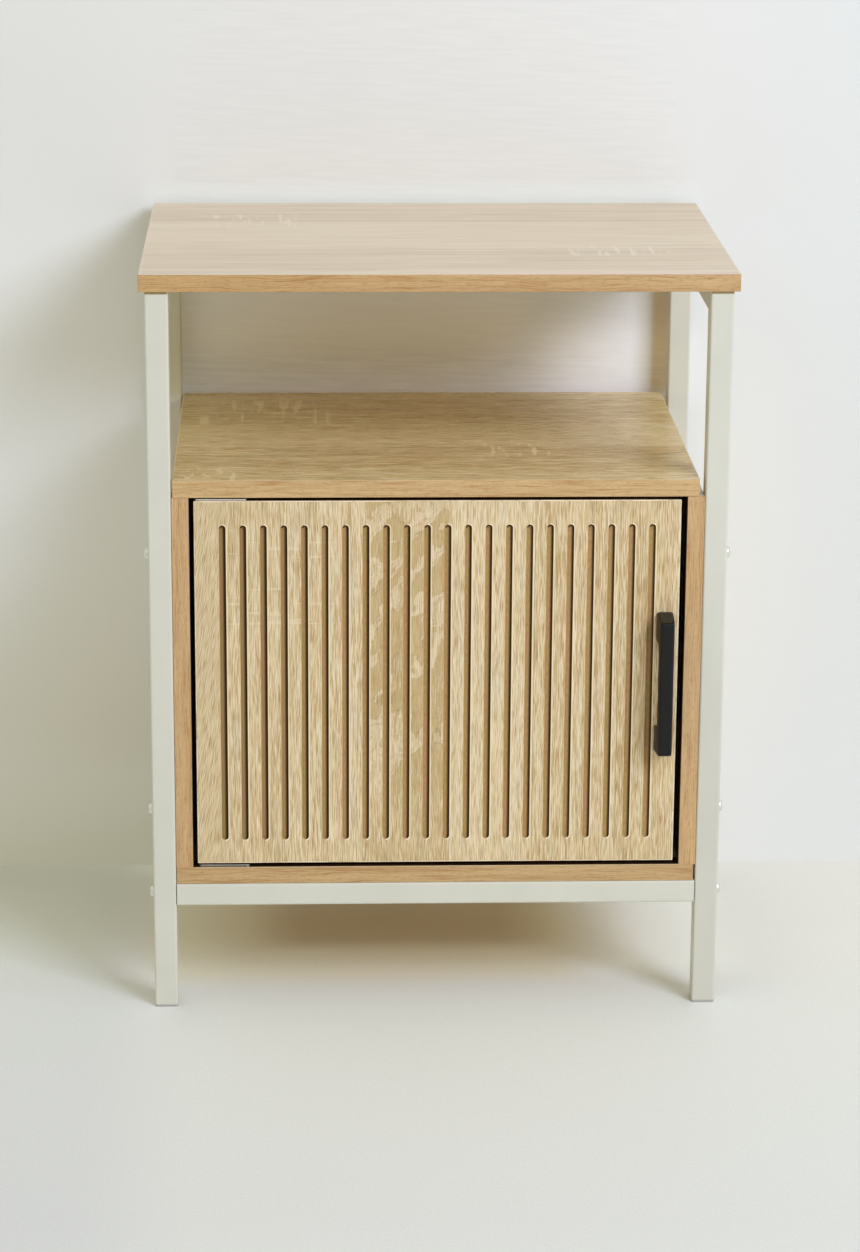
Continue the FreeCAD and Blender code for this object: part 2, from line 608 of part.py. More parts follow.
def build_handle():
    """Cast bar handle: its feet spread towards the door and its corners are rounded."""
    tip = DOOR_FRONT - HANDLE_PROJECTION
    body = handle_profile()
    body = body.makeFillet(HANDLE_END_RADIUS, edges_across(body, tip))
    body = body.makeFillet(HANDLE_NOTCH_RADIUS, edges_across(body, tip + HANDLE_BAR_DEPTH))
    foot_half = HANDLE_FOOT_WIDTH / 2
    bar_half = HANDLE_BAR_WIDTH / 2
    bottom = HANDLE_Z - HANDLE_LENGTH
    plan = [
        (-foot_half, DOOR_FRONT), (-bar_half, tip), (bar_half, tip), (foot_half, DOOR_FRONT),
        (-foot_half, DOOR_FRONT),
    ]
    ring = [Vector(HANDLE_X + x, y, bottom) for x, y in plan]
    wedge = Part.Face(Part.makePolygon(ring)).extrude(Vector(0, 0, 2 * HANDLE_LENGTH))
    body = body.common(wedge).removeSplitter()
    flank_edges = [edge for edge in body.Edges if is_flank_edge(edge)]
    body = body.makeFillet(HANDLE_EDGE_RADIUS, flank_edges)
    export("door_handle", cut(body, [handle_bore(z, PIN_CLEARANCE) for z in HANDLE_HOLE_HEIGHTS]))


def handle_bore(z, clearance):
    """Hole for a handle screw through the door and on into the handle's foot."""
    start = Vector(HANDLE_X, DOOR_REAR, z)
    return rod(HANDLE_SCREW.radius + clearance, start, Y_AXIS * -1, HANDLE_SCREW.length + HANDLE_BORE_SPARE)


def is_flank_edge(edge):
    """True for the outline of the handle's two flanks, apart from where they meet the door."""
    points = [vertex.Point for vertex in edge.Vertexes]
    same_flank = all(p.x < HANDLE_X for p in points) or all(p.x > HANDLE_X for p in points)
    on_door = all(abs(p.y - DOOR_FRONT) < TOLERANCE for p in points)
    return same_flank and not on_door


def build_handle_screws():
    """Screws through the door into the handle's feet."""
    seats = [Vector(HANDLE_X, DOOR_REAR, z) for z in HANDLE_HOLE_HEIGHTS]
    export("handle_screws", *[pan_screw(HANDLE_SCREW, seat, Y_AXIS * -1) for seat in seats])


# Hinges ------------------------------------------------------------------------------------


def hinge_screw_places():
    """X of the screws in each hinge plate."""
    return tuple(PIVOT_X + offset for offset in HINGE_SCREW_OFFSETS)


def hinge_screw(x, z, direction, bore=0.0):
    """Countersunk screw from a plate's face into the board behind it, or its hole."""
    return flat_screw(HINGE_SCREW, Vector(x, PIVOT_Y, z), Z_AXIS * direction, bore)


def hinge_plate(low, screw_face, direction, pin_hole):
    """Flat plate with rounded corners, a pin hole and two countersunk screw holes."""
    left = PIVOT_X - HINGE_PLATE_FROM_PIVOT
    right = left + HINGE_PLATE_LENGTH
    half = HINGE_PLATE_WIDTH / 2
    plate = block((left, right), (PIVOT_Y - half, PIVOT_Y + half), (low, low + HINGE_PLATE))
    upright = [edge for edge in plate.Edges if abs(edge.Length - HINGE_PLATE) < TOLERANCE]
    plate = plate.makeFillet(HINGE_PLATE_CORNER, upright)
    holes = [hinge_screw(x, screw_face, direction, PIN_CLEARANCE) for x in hinge_screw_places()]
    holes.append(rod(pin_hole, Vector(PIVOT_X, PIVOT_Y, low), Z_AXIS, HINGE_PLATE))
    return cut(plate, holes)


def build_hinges():
    """A pair of flat pivot hinges at the door's top and bottom edges."""
    pins = []
    washers = []
    frame_screws = []
    door_screws = []
    ends = (("upper", SHELF_UNDERSIDE, DOOR_TOP, 1), ("lower", FLOOR_TOP, DOOR_BOTTOM, -1))
    for name, board_face, door_face, outward in ends:
        frame_low = min(board_face, board_face - outward * HINGE_PLATE)
        door_low = min(door_face, door_face + outward * HINGE_PLATE)
        frame_face = board_face - outward * HINGE_PLATE
        plate_face = door_face + outward * HINGE_PLATE
        export(f"{name}_hinge_frame_plate", hinge_plate(frame_low, frame_face, outward, PIN_RADIUS))
        door_hole = PIN_RADIUS + PIN_CLEARANCE
        export(f"{name}_hinge_door_plate", hinge_plate(door_low, plate_face, -outward, door_hole))
        frame_screws += [hinge_screw(x, frame_face, outward) for x in hinge_screw_places()]
        door_screws += [hinge_screw(x, plate_face, -outward) for x in hinge_screw_places()]
        top = Vector(PIVOT_X, PIVOT_Y, board_face)
        inward = Z_AXIS * -outward
        head_face = door_face - outward * CLEARANCE
        shank = rod(PIN_RADIUS, top, inward, abs(board_face - head_face))
        head = rod(PIN_HEAD_RADIUS, Vector(PIVOT_X, PIVOT_Y, head_face), inward, PIN_HEAD)
        pins.append(join(shank, [head]))
        middle = (frame_face + plate_face) / 2
        ring_start = Vector(PIVOT_X, PIVOT_Y, middle - WASHER / 2)
        ring = rod(WASHER_RADIUS, ring_start, Z_AXIS, WASHER)
        washers.append(cut(ring, [rod(PIN_RADIUS + PIN_CLEARANCE, ring_start, Z_AXIS, WASHER)]))
    export("hinge_pins", *pins)
    export("hinge_washers", *washers)
    export("hinge_frame_screws", *frame_screws)
    export("hinge_door_screws", *door_screws)


# Magnet catch ------------------------------------------------------------------------------


def catch_screw(x, bore=0.0):
    """Screw up through the catch's body into the shelf board, or its hole."""
    return flat_screw(CATCH_SCREW, Vector(x, CATCH_Y, SHELF_UNDERSIDE - CATCH_HEIGHT), Z_AXIS, bore)


def strike_screw(bore=0.0):
    """Screw through the strike plate into the door, or its hole."""
    return flat_screw(STRIKE_SCREW, Vector(CATCH_X, DOOR_REAR + STRIKE_PLATE, STRIKE_Z), Y_AXIS * -1, bore)


def build_catch():
    """Magnet catch under the shelf board and the strike plate that it holds on the door."""
    half = CATCH_WIDTH / 2
    y = (CATCH_FRONT, CATCH_FRONT + CATCH_DEPTH)
    z = (SHELF_UNDERSIDE - CATCH_HEIGHT, SHELF_UNDERSIDE)
    body = block((CATCH_X - half, CATCH_X + half), y, z)
    upright = [edge for edge in body.Edges if abs(edge.Length - CATCH_HEIGHT) < TOLERANCE]
    body = body.makeFillet(CATCH_CORNER, upright)
    magnet_half = MAGNET_WIDTH / 2
    magnet_x = (CATCH_X - magnet_half, CATCH_X + magnet_half)
    magnet_z = (STRIKE_Z - MAGNET_HEIGHT / 2, STRIKE_Z + MAGNET_HEIGHT / 2)
    magnet_y = (CATCH_FRONT, CATCH_FRONT + MAGNET_DEPTH)
    pole_y = (CATCH_FRONT - POLE_PROUD, CATCH_FRONT + MAGNET_DEPTH)
    pocket_z = (magnet_z[0] - POLE_THICKNESS, magnet_z[1] + POLE_THICKNESS)
    pocket = block(magnet_x, magnet_y, pocket_z)
    screw_holes = [catch_screw(x, PIN_CLEARANCE) for x in CATCH_SCREW_PLACES]
    export("catch_body", cut(body, [pocket, *screw_holes]))
    export("catch_magnet", block(magnet_x, magnet_y, magnet_z))
    pole_heights = ((pocket_z[0], magnet_z[0]), (magnet_z[1], pocket_z[1]))
    poles = [block(magnet_x, pole_y, pole_z) for pole_z in pole_heights]
    export("catch_pole_plates", *poles)
    export("catch_screws", *[catch_screw(x) for x in CATCH_SCREW_PLACES])
    strike_half = STRIKE_WIDTH / 2
    strike_z = (STRIKE_Z - STRIKE_HEIGHT / 2, STRIKE_Z + STRIKE_HEIGHT / 2 - DOOR_END_GAP)
    strike_x = (CATCH_X - strike_half, CATCH_X + strike_half)
    strike = block(strike_x, (DOOR_REAR, DOOR_REAR + STRIKE_PLATE), strike_z)
    export("strike_plate", cut(strike, [strike_screw(PIN_CLEARANCE)]))
    export("strike_screw", strike_screw())


os.makedirs("parts", exist_ok=True)
build_frame()
build_frame_hardware()
build_top_board()
build_shelf_board()
build_bottom_board()
build_side_panels()
build_back_panel()
build_joinery()
build_door()
build_handle()
build_handle_screws()
build_hinges()
build_catch()
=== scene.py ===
"""Storage side table with door: its finishes and rounded shapes, laid out as an add-on."""

import math

import bmesh
import bpy
import numpy as np
from bpy.props import FloatProperty, FloatVectorProperty, PointerProperty
from bpy.types import Operator, Panel, PropertyGroup
from mathutils import Matrix, Vector


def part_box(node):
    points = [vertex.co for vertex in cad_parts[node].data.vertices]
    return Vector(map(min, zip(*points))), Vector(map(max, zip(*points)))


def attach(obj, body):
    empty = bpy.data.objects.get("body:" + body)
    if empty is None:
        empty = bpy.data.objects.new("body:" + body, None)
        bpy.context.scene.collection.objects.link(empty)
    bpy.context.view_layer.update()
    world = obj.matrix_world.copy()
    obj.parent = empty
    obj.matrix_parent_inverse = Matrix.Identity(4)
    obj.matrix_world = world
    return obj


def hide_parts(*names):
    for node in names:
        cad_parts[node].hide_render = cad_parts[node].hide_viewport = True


bl_info = {
    "name": "Storage Side Table",
    "version": (1, 0, 0),
    "blender": (4, 5, 0),
    "location": "3D View > Sidebar > Side Table",
    "description": "Builds a storage side table with a grooved door on a square tube frame",
    "category": "Object",
}

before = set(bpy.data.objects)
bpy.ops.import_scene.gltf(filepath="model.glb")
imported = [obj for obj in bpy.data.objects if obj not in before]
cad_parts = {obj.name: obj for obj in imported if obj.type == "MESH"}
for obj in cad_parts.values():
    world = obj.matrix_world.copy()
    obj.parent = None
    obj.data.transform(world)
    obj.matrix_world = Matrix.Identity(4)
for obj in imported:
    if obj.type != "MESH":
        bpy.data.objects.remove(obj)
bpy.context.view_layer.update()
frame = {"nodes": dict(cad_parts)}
NODES = frame["nodes"]
MM = 0.001
FRONT, REAR = -1, 1
X, Y, Z = 0, 1, 2

# Settings


def paint(red, green, blue):
    """Linear colour of a screen colour given from 0 to 255: the inverse of the sRGB curve."""
    shares = np.array((red, green, blue)) / 255
    curve = np.where(shares <= 0.04045, shares / 12.92, ((shares + 0.055) / 1.055) ** 2.4)
    return tuple(float(share) for share in curve)


def length(name, description, default):
    """A size that a user may change, kept in metres and given in millimetres."""
    return FloatProperty(
        name=name, description=description, default=default * MM, min=0.0, unit="LENGTH"
    )


def colour(name, description, red, green, blue):
    """A colour that a user may change, given as screen values."""
    return FloatVectorProperty(
        name=name, description=description, default=paint(red, green, blue), size=3,
        min=0.0, max=1.0, subtype="COLOR",
    )


class SIDETABLE_sizes(PropertyGroup):
    """Roundings and small details that the boards and fittings get."""

    arris: length("Edge rounding", "Radius along the edges of the edge strips", 0.7)
    corner: length("Corner rounding", "Radius at the corners of a board, seen from above", 0.8)
    groove_arris: length("Groove rounding", "Radius where a groove meets the door's face", 0.6)
    handle_edge: length("Handle rounding", "Radius along the handle's edges", 2.2)
    socket_width: length("Key size", "Width across the flats of the frame bolts' sockets", 4.0)
    recess_arm: length("Recess size", "Reach of the cross recess in a screw's head", 2.2)


class SIDETABLE_colours(PropertyGroup):
    """Colours of the finishes."""

    oak_pale: colour("Oak, pale", "Pale streaks of the printed oak", 234, 218, 187)
    oak_middle: colour("Oak, middle", "Main colour of the printed oak", 219, 198, 158)
    oak_dark: colour("Oak, dark", "Dark streaks of the printed oak", 188, 158, 111)
    # Painted sheen: a pale tone that stands for the glancing reflection on the top board
    top_sheen: colour("Top, wash", "Pale tone that lightens the top board", 233, 220, 215)
    beech_pale: colour("Beech, pale", "Main colour of the edge strips", 200, 165, 117)
    beech_dark: colour("Beech, dark", "Grain lines of the edge strips", 160, 116, 68)
    groove: colour("Groove", "Bare fibreboard inside the door's grooves", 186, 151, 98)
    # Painted shadow: the dark brown that stands for the shade along each groove's right wall and
    # under its upper end
    groove_shadow: colour("Groove, burnt", "Fibreboard that the cutter has browned", 68, 40, 5)
    # Painted shadow: the dark colour that stands for the shade inside the door's gap
    gap_shadow: colour("Door gap", "Dark stain on the faces round the door's gap", 60, 38, 20)
    frame: colour("Frame", "Powder coat of the tube frame", 212, 211, 197)
    handle: colour("Handle", "Powder coat of the handle", 10, 10, 10)
    floor: colour("Floor", "Plain floor", 226, 226, 219)
    wall: colour("Wall", "Plain wall behind the table", 238, 238, 234)


def sizes():
    """The sizes in use."""
    return bpy.context.scene.side_table_sizes


def colours():
    """The colours in use."""
    return bpy.context.scene.side_table_colours


# Shader maths


def arithmetic(operation, reflected=False):
    """A method that adds a Math node of its own value and another one."""

    def method(self, other=0.0):
        first, second = (other, self) if reflected else (self, other)
        return self.shader.add("ShaderNodeMath", {"operation": operation}, {0: first, 1: second})

    return method


class Socket:
    """A shader socket that takes part in Python arithmetic: each operation adds a Math node."""

    def __init__(self, shader, socket):
        self.shader = shader
        self.socket = socket

    __add__ = arithmetic("ADD")
    __radd__ = arithmetic("ADD", reflected=True)
    __sub__ = arithmetic("SUBTRACT")
    __rsub__ = arithmetic("SUBTRACT", reflected=True)
    __mul__ = arithmetic("MULTIPLY")
    __rmul__ = arithmetic("MULTIPLY", reflected=True)
    __truediv__ = arithmetic("DIVIDE")
    __rtruediv__ = arithmetic("DIVIDE", reflected=True)
    __pow__ = arithmetic("POWER")
    __rpow__ = arithmetic("POWER", reflected=True)
    __abs__ = arithmetic("ABSOLUTE")
    sine = arithmetic("SINE")
    whole = arithmetic("FLOOR")
    fraction = arithmetic("FRACT")
    larger = arithmetic("MAXIMUM")
    above = arithmetic("GREATER_THAN")

    def rise(self, low, high):
        """0 below low, 1 above high, and an S-shaped rise between them."""
        values = {0: self, 1: low, 2: high, 3: 0.0, 4: 1.0}
        return self.shader.add(
            "ShaderNodeMapRange", {"interpolation_type": "SMOOTHSTEP"}, values
        )

    def window(self, low, high, soft):
        """1 between low and high, 0 outside, with soft edges of the given width."""
        return self.rise(low - soft, low) * (1 - self.rise(high, high + soft))

    def ramp(self, *stops):
        """A colour that runs through the stops, each a place and a colour."""
        return self.shader.add("ShaderNodeValToRGB", {"stops": stops}, {0: self})

    def streaks(self, low, high, tint, dark, pale):
        """A tint that runs from a darker to a paler form of itself between two values."""
        return self.ramp((low, tinted(tint, dark)), (high, tinted(tint, pale)))

    def mix(self, share, other, blend="MIX"):
        """This colour with a share of another blended in."""
        return self.shader.mix(share, self, other, blend)

    def times(self, tint, share=1.0):
        """This colour multiplied by another, as far as the share goes."""
        return self.mix(share, tint, "MULTIPLY")

    def mix_zones(self, places, zones, blend="MULTIPLY"):
        """This colour with a tint blended in in each zone, given as the tint and its sides."""
        mixed = self
        for tint, *sides in zones:
            mixed = mixed.mix(zone(places, *sides), tint, blend)
        return mixed


def zone(places, *sides):
    """1 inside a zone and 0 outside it.

    Each side is an axis, its low and its high limit, and the width of the soft edge beyond
    them. A limit of None leaves that end open.
    """
    share = 1.0
    for axis, low, high, soft in sides:
        if low is not None:
            share = places[axis].rise(low - soft, low) * share
        if high is not None:
            share = (1 - places[axis].rise(high, high + soft)) * share
    return share


# Added to a finish's name, so that no material of the frame has the same one
FINISH_ENDING = "_finish"


class Shader:
    """A material under construction."""

    def __init__(self, name, tree=None):
        if tree is None:
            self.material = bpy.data.materials.new(name + FINISH_ENDING)
            self.material.use_nodes = True
            tree = self.material.node_tree
        self.tree = tree
        self.tree.nodes.clear()

    def add(self, kind, settings=None, inputs=None, output=0):
        """A node of any kind: its settings first, then the values or links of its sockets."""
        node = self.tree.nodes.new(kind)
        for key, value in (settings or {}).items():
            if key == "stops":
                fill_ramp(node.color_ramp, value)
            else:
                setattr(node, key, value)
        for key, value in (inputs or {}).items():
            if isinstance(value, Socket):
                self.tree.links.new(value.socket, node.inputs[key])
            else:
                node.inputs[key].default_value = value
        return Socket(self, node.outputs[output]) if node.outputs else None

    def millimetres(self):
        """The three object coordinates of a point, in millimetres."""
        place = self.add("ShaderNodeTexCoord", output="Object")
        parts = [self.add("ShaderNodeSeparateXYZ", inputs={0: place}, output=i) for i in range(3)]
        return [part * (1 / MM) for part in parts]

    def noise(self, x, y, z, detail=2.0, roughness=0.5):
        """Smooth noise from 0 to 1 whose features are about one unit across."""
        place = self.add("ShaderNodeCombineXYZ", inputs={0: x, 1: y, 2: z})
        values = {"Vector": place, "Scale": 1.0, "Detail": detail, "Roughness": roughness}
        return self.add("ShaderNodeTexNoise", inputs=values)

    def mix(self, share, first, second, blend="MIX"):
        """A mix of two colours."""
        settings = {"data_type": "RGBA", "blend_type": blend}
        inputs = {0: share, 6: opaque(first), 7: opaque(second)}
        return self.add("ShaderNodeMix", settings, inputs, output=2)

    def bump(self, height, distance):
        """A surface normal tilted by a height field; distance is a unit of height, in metres."""
        return self.add("ShaderNodeBump", inputs={"Height": height, "Distance": distance})

    def finish(self, **inputs):
        """The material, with a Principled shader that takes the named sockets' values."""
        named = {key.replace("_", " "): opaque(value) for key, value in inputs.items()}
        return self.show(self.add("ShaderNodeBsdfPrincipled", inputs=named))

    def show(self, surface):
        """The material, with any shader as its surface."""
        self.add("ShaderNodeOutputMaterial", inputs={"Surface": surface})
        return self.material


def opaque(value):
    """A colour with its alpha added, where the value is a colour."""
    if isinstance(value, Socket) or not hasattr(value, "__len__") or len(value) != 3:
        return value
    return (*value, 1.0)


def tinted(tint, *factors):
    """A colour made lighter or darker, by one factor or by one for each channel."""
    return tuple(min(1.0, channel * factor) for channel, factor in zip(tint, factors * 3))


def fill_ramp(ramp, stops):
    """Gives a colour ramp its stops."""
    while len(ramp.elements) < len(stops):
        ramp.elements.new(0.5)
    for element, (place, tint) in zip(ramp.elements, stops):
        element.position = place
        element.color = opaque(tint)


def box_of(*nodes):
    """Lowest and highest corner of several CAD nodes together, as arrays."""
    corners = np.array([[tuple(corner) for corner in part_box(node)] for node in nodes])
    return corners[:, 0].min(axis=0), corners[:, 1].max(axis=0)


def millimetre_box(node):
    """Lowest and highest corner of a CAD node, in millimetres."""
    return [corner / MM for corner in box_of(node)]


# Finishes

# Contrast of a print: the shares of bands, columns, fibres and pores, and the steps of fibres
# and pores per millimetre, across and along the grain
FIBROUS = (0.10, 0.10, 1.10, 0.50, 1.8, 0.062)
PLAIN = (0.16, 0.20, 0.85, 0.4, 1.0, 0.04)
EVEN = (0.16, 0.16, 1.05, 0.5, 0.8, 0.04)
FAINT = (0.26, 0.30, 0.22, 0.12, 0.2, 0.012)

# Planks of a print: the place of a seam, and the width between two seams
TOP_PLANKS, SHELF_PLANKS, DOOR_PLANKS = (-53.0, 141.0), (-43.5, 92.5), (-62.0, 72.0)
BOARD_PLANKS, PANEL_PLANKS, BACK_PLANKS = (-30.0, 110.0), (-40.0, 110.0), (-60.0, 110.0)
PLANK_TONES = (0.03, -0.03)
DOOR_TONES = (-0.05, 0.045, 0.0, -0.03, -0.01, 0.015)

# Zones with rays: two ends along the grain, two edges across it, and how long a bar is
SHELF_RAYS = ((-203, -94, 50, 141, 70.0), (45, 111, -76, -30, 32.0), (-214, -172, -160, -118, 16.0))
TOP_RAYS = ((118, 200, -78, -38, 40.0), (-190, -120, 60, 120, 40.0))

# Places on the door, each two limits and the width of their soft edge: the curly plank, the
# rays in its upper left corner, and where the leaning fibres at the left end
CURLY_SIDES, CURLY_ENDS = (-60, 8, 1.5), (205, 444, 24)
DOOR_RAY_ENDS, DOOR_RAY_HEIGHTS = (-182, -92, 10), (345, 425, 12)
LEANING_END = (-192, -174)

# How deep below the door's face the finish of the grooves ends
GROOVED_DEPTH = (4.0, 5.0)

# Painted shadow on the door's sides: its distance from the front edge and the rear one, and its
# fade
SHADOW_FROM_FRONT, SHADOW_FROM_REAR, SHADOW_FADE = 0.9, 1.1, 0.3

# Painted shadow round the opening: its margins beside and above it, and its fade towards the rear
GAP_SIDE, GAP_LEVEL, GAP_FADE = 0.3, 0.1, 2

# How far in front of the back panel's rear face its bare side begins and is whole
BARE_BACK = (1.6, 1.2)

# Zones: a tint, and then each side's axis, low and high limit and the width of its soft edge
# On the shelf: a tint over all of it, painted shade at the rear left of the middle, and painted
# light at the right end
SHELF_TINT_AND_PAINTED_LIGHT = (
    ((1.0, 0.94, 0.76),),
    ((0.89, 0.87, 0.76), (Y, 60, None, 120), (X, None, 60, 155)),
    ((1.09, 1.14, 1.22), (X, 215, None, 155)),
)
# On the frame: painted shade at the feet, painted warm shade on the rear left leg above the shelf,
# painted light on the rear right leg above it, and the right legs darker towards the bottom
COAT_PAINTED_SHADE_AND_LIGHT = (
    ((0.86, 0.83, 0.85), (Z, None, 2.2, 0.8)),
    ((0.92, 0.88, 0.72), (X, None, -10, 20), (Y, 120, None, 20), (Z, 480, None, 10)),
    ((1.05, 1.04, 1.02), (X, 10, None, 20), (Y, 120, None, 20), (Z, 480, None, 10)),
    ((0.93, 0.92, 0.93), (X, 228, None, 2), (Z, None, 150, 270)),
)


def grain_places(places, along):
    """Places across, through and along the grain, in millimetres; along is "x" or "z"."""
    x, y, z = places
    return (y, z, x) if along == "x" else (x, y, z)


def oak_grain(shader, across, through, along, seed, planks, contrast, tones=PLANK_TONES):
    """Printed oak: a colour, and the height of its pores.

    The print is divided across the grain into planks. In each plank three noises stretched
    along the grain are added up: bands about 25 mm wide, columns of about 8 mm and fibres.
    Each plank also has its own tone, and the tones come round again. The sum runs through a
    ramp from dark to pale. The tops of a fourth noise, long and thin, are the pores, which
    are darker and lie closer together in some columns.
    """
    band_share, column_share, fibre_share, pore_share, across_step, along_step = contrast
    dark, middle, pale = colours().oak_dark, colours().oak_middle, colours().oak_pale
    planks_across = (across - planks[0]) / planks[1]
    plank = planks_across.whole()
    field = plank * 17.3 + seed
    place = across + shader.noise(across * 0.02, field, along * 0.007, 1.0) * 6
    bands = shader.noise(place * 0.05, field, along * 0.002, 1.0)
    columns = shader.noise(place * 0.20, field + through * 0.1, along * 0.007)
    thread = (place * across_step, field + through * 0.5, along * along_step)
    fibres = shader.noise(*thread, 1.5, 0.7)
    tone = (bands - 0.5) * band_share + (columns - 0.5) * column_share
    tone = tone + (fibres - 0.5) * fibre_share + 0.5
    turn = (plank * (1 / len(tones))).fraction() * len(tones)
    for number, level in enumerate(tones):
        tone = tone + turn.window(number - 0.2, number + 0.2, 0.1) * level
    wood = tone.ramp(
        (0.20, tinted(dark, 0.86)),
        (0.34, dark),
        (0.50, middle),
        (0.66, pale),
        (0.82, tinted(pale, 1.10)),
    )
    cast = shader.noise(across * 0.11, field + 5, along * 0.012, 1.0)
    reddish, yellowish, greenish = (1.0, 0.965, 0.94), (1.0, 0.98, 0.92), (0.965, 0.975, 0.97)
    cast = cast.ramp((0.36, reddish), (0.5, yellowish), (0.64, greenish))
    wood = wood.times(cast)
    pores = shader.noise(thread[0] + 31.0, thread[1], thread[2] + 7.0, 1.0)
    pores = (pores + (columns - 0.5) * -0.3).rise(0.57, 0.64)
    wood = wood.mix(pores * pore_share, tinted(dark, 0.62))
    seam = planks_across.fraction() * planks[1] * across_step
    return wood.mix((1 - seam.rise(0.9, 1.6)) * 0.35, tinted(dark, 0.55)), pores


def oak_rays(shader, wood, across, along, seed, zones):
    """Adds the pale rays that cross the grain in bars, inside the given zones.

    The bars are the tops of a noise that is short along the grain and long across it.
    """
    for low, high, near, far, reach in zones:
        bars = shader.noise(across * (0.8 / reach), seed, along * 0.17, 1.0)
        bars = bars.rise(0.54, 0.64) * along.window(low, high, 8)
        bars = bars * across.window(near, far, 6)
        wood = wood.mix(bars * 0.7, tinted(colours().oak_pale, 1.05))
        seed = seed + 9.0
    return wood


def round_gap(places):
    """Where the door gap's painted shadow goes: 1 on the cabinet's faces that stand round the
    closed door's sides, and 0 elsewhere.
    """
    opening = -millimetre_box("left_side_panel")[1][X]
    floor = millimetre_box("bottom_board")[1][Z]
    ceiling = millimetre_box("shelf_board")[0][Z]
    rear = millimetre_box("door_edging")[1][Y]
    return zone(
        places,
        (X, -opening - GAP_SIDE, opening + GAP_SIDE, GAP_SIDE),
        (Z, floor - GAP_LEVEL, ceiling + GAP_LEVEL, GAP_LEVEL),
        (Y, None, rear, GAP_FADE),
    )


def behind_door_front(places):
    """Where the door gap's painted shadow goes on the door: 1 on its sides between its front edge
    and its rear one, and 0 outside them.
    """
    low, high = millimetre_box("door_edging")
    return places[Y].window(low[Y] + SHADOW_FROM_FRONT, high[Y] - SHADOW_FROM_REAR, SHADOW_FADE)


def oak_board(
    name, along, seed, planks, contrast, rays=(), sheen=0.0, zones=(), stained=False,
    specular=0.5, roughness=0.27,
):
    """Printed oak on a plain board, with as much of the painted pale sheen as its share says, tints
    and painted light and shade in its zones, and painted shadow round the door's gap where asked
    for.
    """
    shader = Shader(name)
    places = shader.millimetres()
    across, through, length_place = grain_places(places, along)
    wood, pores = oak_grain(shader, across, through, length_place, seed, planks, contrast)
    wood = oak_rays(shader, wood, across, length_place, seed, rays)
    # Painted sheen on the top board
    if sheen:
        wood = wood.mix(sheen, colours().top_sheen)
    # Tints and painted light and shade in the board's zones
    wood = wood.mix_zones(places, zones)
    # Painted shadow on the faces round the door's gap
    if stained:
        wood = wood.mix(round_gap(places), colours().gap_shadow)
    return shader.finish(
        Base_Color=wood,
        Roughness=roughness + pores * 0.15,
        Specular_IOR_Level=specular,
        Normal=shader.bump(pores * -1, 0.00005),
    )


def curly_figure(shader, wood, across, up):
    """Adds the curly figure of one plank.

    A noise on turned and bent coordinates divides the plank into leaning tan bands and paler
    ones. A band begins with a thin dark line and fades out. Lines of equal height of the same
    noise run through the bands as fine curls.
    """
    dark, pale = colours().oak_dark, colours().oak_pale
    bend = shader.noise(across * 0.04, 3.0, up * 0.035, 3.0) * 52
    along_band = (across * 0.62 + up * 0.78 + bend) * 0.014
    over_band = (up * 0.62 - across * 0.78 + bend) * 0.050
    shape = shader.noise(along_band, 4.0, over_band, 0.7, 0.5)
    curls = shader.noise(along_band * 4, 6.0, over_band * 5, 2.0, 0.6)
    tan_band = shape.rise(0.495, 0.52) * (1 - shape.rise(0.60, 0.75) * 0.6)
    figure = wood.mix(tan_band * 0.6, paint(193, 166, 114))
    pale_band = (1 - shape.rise(0.47, 0.50)) * curls.rise(0.36, 0.52)
    figure = figure.mix(pale_band * 0.4, tinted(pale, 1.06))
    line = 1 - abs(shape - 0.507).rise(0.002, 0.012)
    figure = figure.mix(line * 0.3, tinted(dark, 0.66))
    ripple = (shape * 150 + curls * 14).sine()
    figure = figure.mix(ripple.rise(0.55, 1.0) * 0.3, tinted(dark, 0.8))
    inside = across.window(*CURLY_SIDES) * up.window(*CURLY_ENDS)
    return wood.mix(inside * 0.9, figure)


def door_finish(name):
    """Printed oak on the door: leaning fibres at the left, a curly plank, and bare grooves."""
    shader = Shader(name)
    across, through, up = shader.millimetres()
    tints = colours()
    wood, pores = oak_grain(shader, across, through, up, 11.0, DOOR_PLANKS, FIBROUS, DOOR_TONES)
    leaning = shader.noise((across - up * 0.17) * 1.5, 8.0, up * 0.06, 1.5, 0.65)
    leaning = leaning.ramp(
        (0.34, tinted(tints.oak_dark, 0.72, 0.69, 0.62)),
        (0.48, tinted(tints.oak_middle, 0.92, 0.90, 0.84)),
        (0.66, tinted(tints.oak_pale, 0.95, 0.93, 0.87)),
    )
    wood = wood.mix((1 - across.rise(*LEANING_END)) * 0.8, leaning)
    bars = shader.noise(across * 0.012, 5.0, up * 0.22, 1.0)
    bars = bars.rise(0.60, 0.66) * across.window(*DOOR_RAY_ENDS)
    bars = bars * up.window(*DOOR_RAY_HEIGHTS)
    wood = wood.mix(bars * 0.35, tinted(tints.oak_pale, 1.04))
    wood = curly_figure(shader, wood, across, up)
    beside, outside = groove_distance(across, up)
    deep = through - millimetre_box("door_panel")[0][Y]
    grooved = 1 - deep.rise(*GROOVED_DEPTH)
    right = beside.rise(-0.5, 0.5)
    # Painted highlight along the right edge of each groove
    rim = outside.window(0.1, 0.9, 0.5) * right * grooved
    wood = wood.mix(rim * 0.8, tinted(tints.oak_pale, 1.16))
    retinted = outside.window(-0.1, 0.3, 0.3) * (1 - right) * grooved
    wood = wood.mix(retinted * 0.7, tints.groove)
    bare = deep.rise(0.25, 0.6) * grooved
    wood = wood.mix(bare, groove_finish(shader, across, up, beside, outside))
    return shader.finish(
        Base_Color=wood,
        Roughness=0.45 + bare * 0.35,
        Specular_IOR_Level=0.25,
        Normal=shader.bump(pores * -1, 0.00006),
    )


